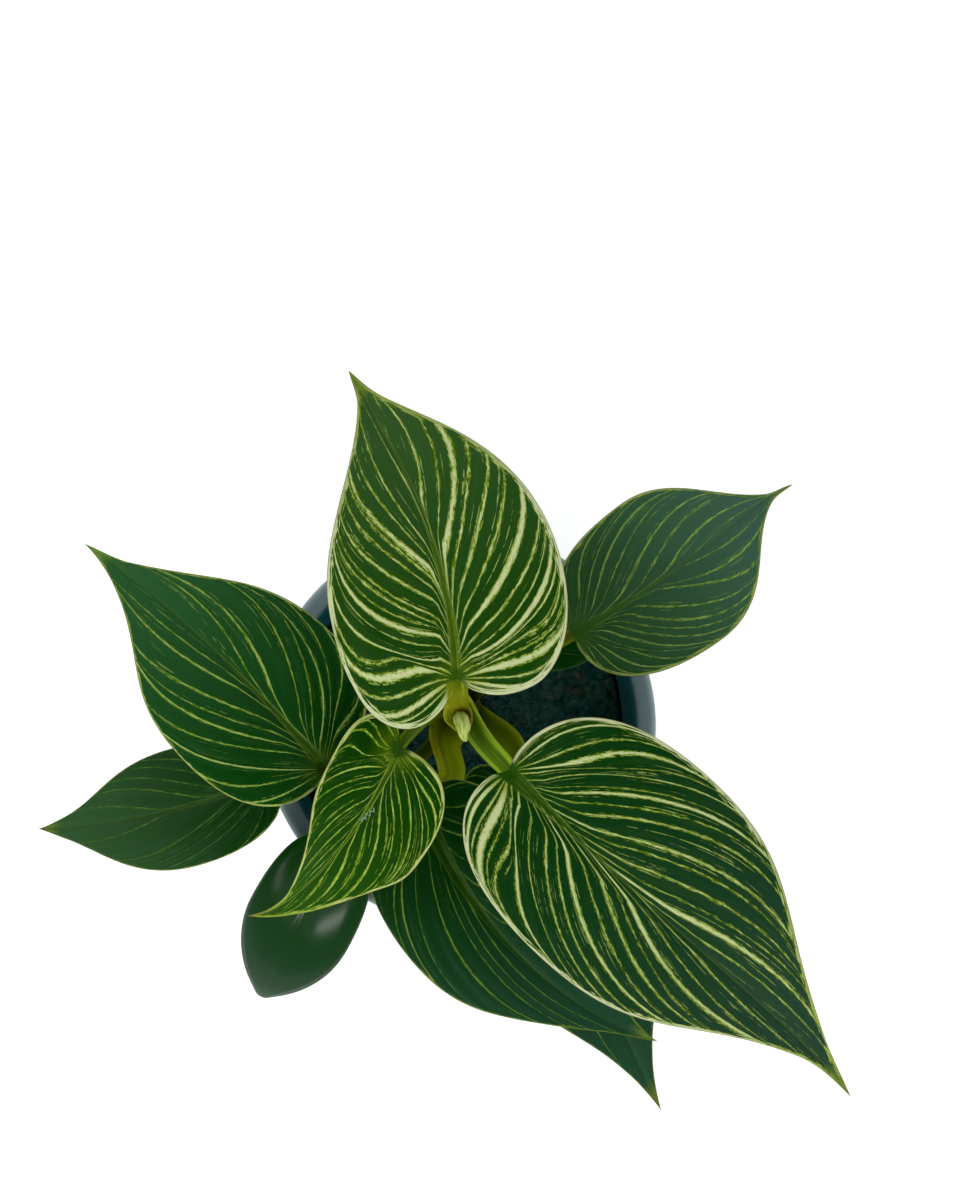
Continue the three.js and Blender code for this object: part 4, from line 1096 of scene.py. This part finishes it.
rough = step(cloud, 0.3, 0.7, (0.38, 0.52))
finish = paint.finish(color, rough, (speck * 0.5 + scuff * 0.6, 0.25, 0.15), gloss=0.3)
settle(shell, "pot", "pot", finish, sharp=pot["sharp"])
print("pot built")

# soil: peat with bark crumbs
soil = {
    "seed": 11, "crumbs": 420, "level": 83, "cuts": 5, "sharp": 60,
    "topAbove": 78, "wall": 50, "blend": 3, # the surface is above topAbove, and smooth towards the wall
    "spread": 50.5, "reach": 49.5, "bare": 8,       # radii of the crumbs: drawn, kept, bare round the stem
    "chips": 0.45, "chipSize": (0.8, 2.1), "chipLength": (1.2, 2.0), "clodSize": (0.6, 1.5), "tilt": 0.4,
    "dark": (.0008, .052, .042), "pale": (.055, .105, .085), "damp": (.004, .066, .064),
    "clod": (.010, .066, .058), "chip": (.006, .044, .036), "freshChip": (.085, .075, .045),
    "crevice": (.002, .034, .030),
}
selectOnly(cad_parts["soil"])
bpy.ops.object.duplicate()
ground = newPiece("peat")
ground.parent = None
for key in list(ground.keys()):
    del ground[key]
mergeClose(ground, 0.01)
bpy.ops.object.mode_set(mode="EDIT")
bpy.ops.mesh.select_all(action="DESELECT")
bpy.ops.object.mode_set(mode="OBJECT")
for face in ground.data.polygons:
    face.select = face.normal.z > 0.5 and face.center.z > soil["topAbove"] * mm
bpy.ops.object.mode_set(mode="EDIT")
bpy.ops.mesh.subdivide(number_cuts=soil["cuts"])
bpy.ops.object.mode_set(mode="OBJECT")


def crumble(x, y):
    # height of the peat's crumbs at a point, in mm
    q = Vector((x, y, 0.0))
    lumps = noise.noise(q * 0.22) * 1.1 + noise.noise(q * 0.6 + Vector((9, 2, 0))) * 0.8
    return lumps + 0.9 * noise.noise(q * 1.3) + 0.45 * noise.noise(q * 2.7)


co = places(ground.data) / mm
for p in co:
    if p[2] > soil["topAbove"]:
        inside = (soil["wall"] - math.hypot(p[0], p[1])) / soil["blend"]
        p[2] += crumble(p[0], p[1]) * min(1.0, max(0.0, inside))
putPlaces(ground.data, co * mm)
paint = Paint("peat")
where = paint.where()
clod = paint.grain(where, scale=500, detail=6, rough=0.7)
patch = paint.grain(where, scale=90, detail=3)
color = paint.coats(
    soil["dark"],
    (paint.step(clod, 0.35, 0.7), soil["pale"]),
    (paint.step(patch, 0.5, 0.75, (0.0, 0.5)), soil["damp"]))
finish = paint.finish(color, 0.9, (clod, 0.9, 1.2), gloss=0.06)
settle(ground, "soil", "soil", finish, sharp=soil["sharp"])

# crumbs: one lump, pulled into flat chips of bark and round clods
deselect()
bpy.ops.mesh.primitive_ico_sphere_add(subdivisions=1, radius=1)
lump = bpy.context.object
corners, faces = places(lump.data), [tuple(f.vertices) for f in lump.data.polygons]
bpy.data.objects.remove(lump)
shuffle = random.Random(soil["seed"])
allCo, allFaces, kinds = [], [], []
for k in range(soil["crumbs"]):
    bearing, away = shuffle.uniform(0, 2 * math.pi), soil["spread"] * math.sqrt(shuffle.uniform(0.0, 1.0))
    x, y = away * math.cos(bearing), away * math.sin(bearing)
    if math.dist((x, y), crown["centre"]) < soil["bare"] or away > soil["reach"]:
        continue
    chip = shuffle.random() < soil["chips"]
    size = shuffle.uniform(*soil["chipSize"] if chip else soil["clodSize"])
    shape = Vector((shuffle.uniform(*soil["chipLength"]), 0.8, 0.4) if chip else (1, 1, 1)) * size
    lean = soil["tilt"]
    axis = (shuffle.uniform(-lean, lean), shuffle.uniform(-lean, lean), 1)
    turn = Quaternion(axis, shuffle.uniform(0, 2 * math.pi))
    shade = shuffle.random()
    # the ground's own swell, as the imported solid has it
    rise = (math.sin(0.2 * x + 1.1) * math.cos(0.17 * y - 0.6) + 0.6 * math.sin(0.3 * x - 0.25 * y + 2.0)
            + 0.4 * math.cos(0.36 * y + 0.24 * x))
    middle = Vector((x, y, soil["level"] + rise + crumble(x, y) + 0.1 * size))
    allFaces += [tuple(len(allCo) + i for i in f) for f in faces]
    for corner in corners:
        q = Vector(corner) * (1 + 0.35 * noise.noise(Vector(corner) * 1.7 + Vector((x, y, 0))))
        allCo.append((middle + turn @ (q * shape)) * mm)
        kinds.append((shade, 1.0 if chip else 0.0, 0.0))
mesh = bpy.data.meshes.new("bark_crumbs")
mesh.from_pydata(allCo, [], allFaces)
putPoints(mesh, "place", kinds)
crumbs = bpy.data.objects.new("bark_crumbs", mesh)
scene.collection.objects.link(crumbs)
paint = Paint("bark_crumbs")
shade, isChip = paint.place()[:2]
woody = paint.grain(paint.where(), scale=700, detail=4, rough=0.6)
bark = paint.mix(paint.step(shade, 0.6, 1.0), soil["chip"], soil["freshChip"])
color = paint.coats(
    soil["clod"],
    (isChip, bark),
    (paint.step(woody, 0.35, 0.7, (0.0, 0.6)), soil["crevice"]))
settle(crumbs, None, "soil", paint.finish(color, 0.88, (woody, 0.7, 0.6), gloss=0.06))
print("soil built")

# table and light
table = {"size": 6, "white": (.93, .93, .93, 1), "glow": 0.37}
lamps = {                       # bearing, height, watts, size; the small low ones make the gloss
    "left": (150, 1.35, 9.6, (1.3, 1.3)),
    "right": (40, 1.35, 9.6, (1.3, 1.3)),
    "frontLeft": (235, 1.35, 7.2, (1.3, 1.3)),
    "frontRight": (315, 1.35, 7.4, (1.3, 1.3)),
    "strip": (266, 0.86, 6.2, (0.6, 0.16)),
    "side": (202, 0.86, 1.6, (0.5, 0.16)),
}
lampRadius = 1.45
lampAim = Vector((0, 0, 0.1))
deselect()
bpy.ops.mesh.primitive_plane_add(size=table["size"], location=(0, 0, 0))
tableTop = bpy.context.object
tableTop.name = "table"
tableTop.data.materials.append(Paint("table").finish(table["white"], 0.9, Emission_Color=(1, 1, 1, 1),
                                                     Emission_Strength=table["glow"]))
for name, (bearing, height, watts, size) in lamps.items():
    turn = math.radians(bearing)
    place = Vector((lampRadius * math.cos(turn), lampRadius * math.sin(turn), height))
    bpy.ops.object.light_add(type="AREA", location=place)
    lamp = bpy.context.object
    lamp.name = name
    lamp.data.shape = "RECTANGLE"
    lamp.data.size, lamp.data.size_y = size
    lamp.data.energy = watts
    lamp.rotation_mode = "QUATERNION"
    lamp.rotation_quaternion = (lampAim - place).to_track_quat("-Z", "Y")
world = bpy.data.worlds.new("studio")
scene.world = world
world.use_nodes = True
sky = world.node_tree.nodes
spot = sky.new("ShaderNodeSeparateXYZ")
fade = sky.new("ShaderNodeMapRange")
for source, target in ((sky.new("ShaderNodeTexCoord").outputs[0], spot.inputs[0]),
                       (spot.outputs[2], fade.inputs[0]),
                       (fade.outputs[0], sky["Background"].inputs[1])):
    world.node_tree.links.new(source, target)
for key, value in enumerate((0.1, 0.8, 0.85, 0.10)):       # pale at the horizon, dim overhead
    fade.inputs[key + 1].default_value = value
sky["Background"].inputs[0].default_value = (1, 1, 1, 1)
scene.view_settings.view_transform = "Standard"
print("table and light set")
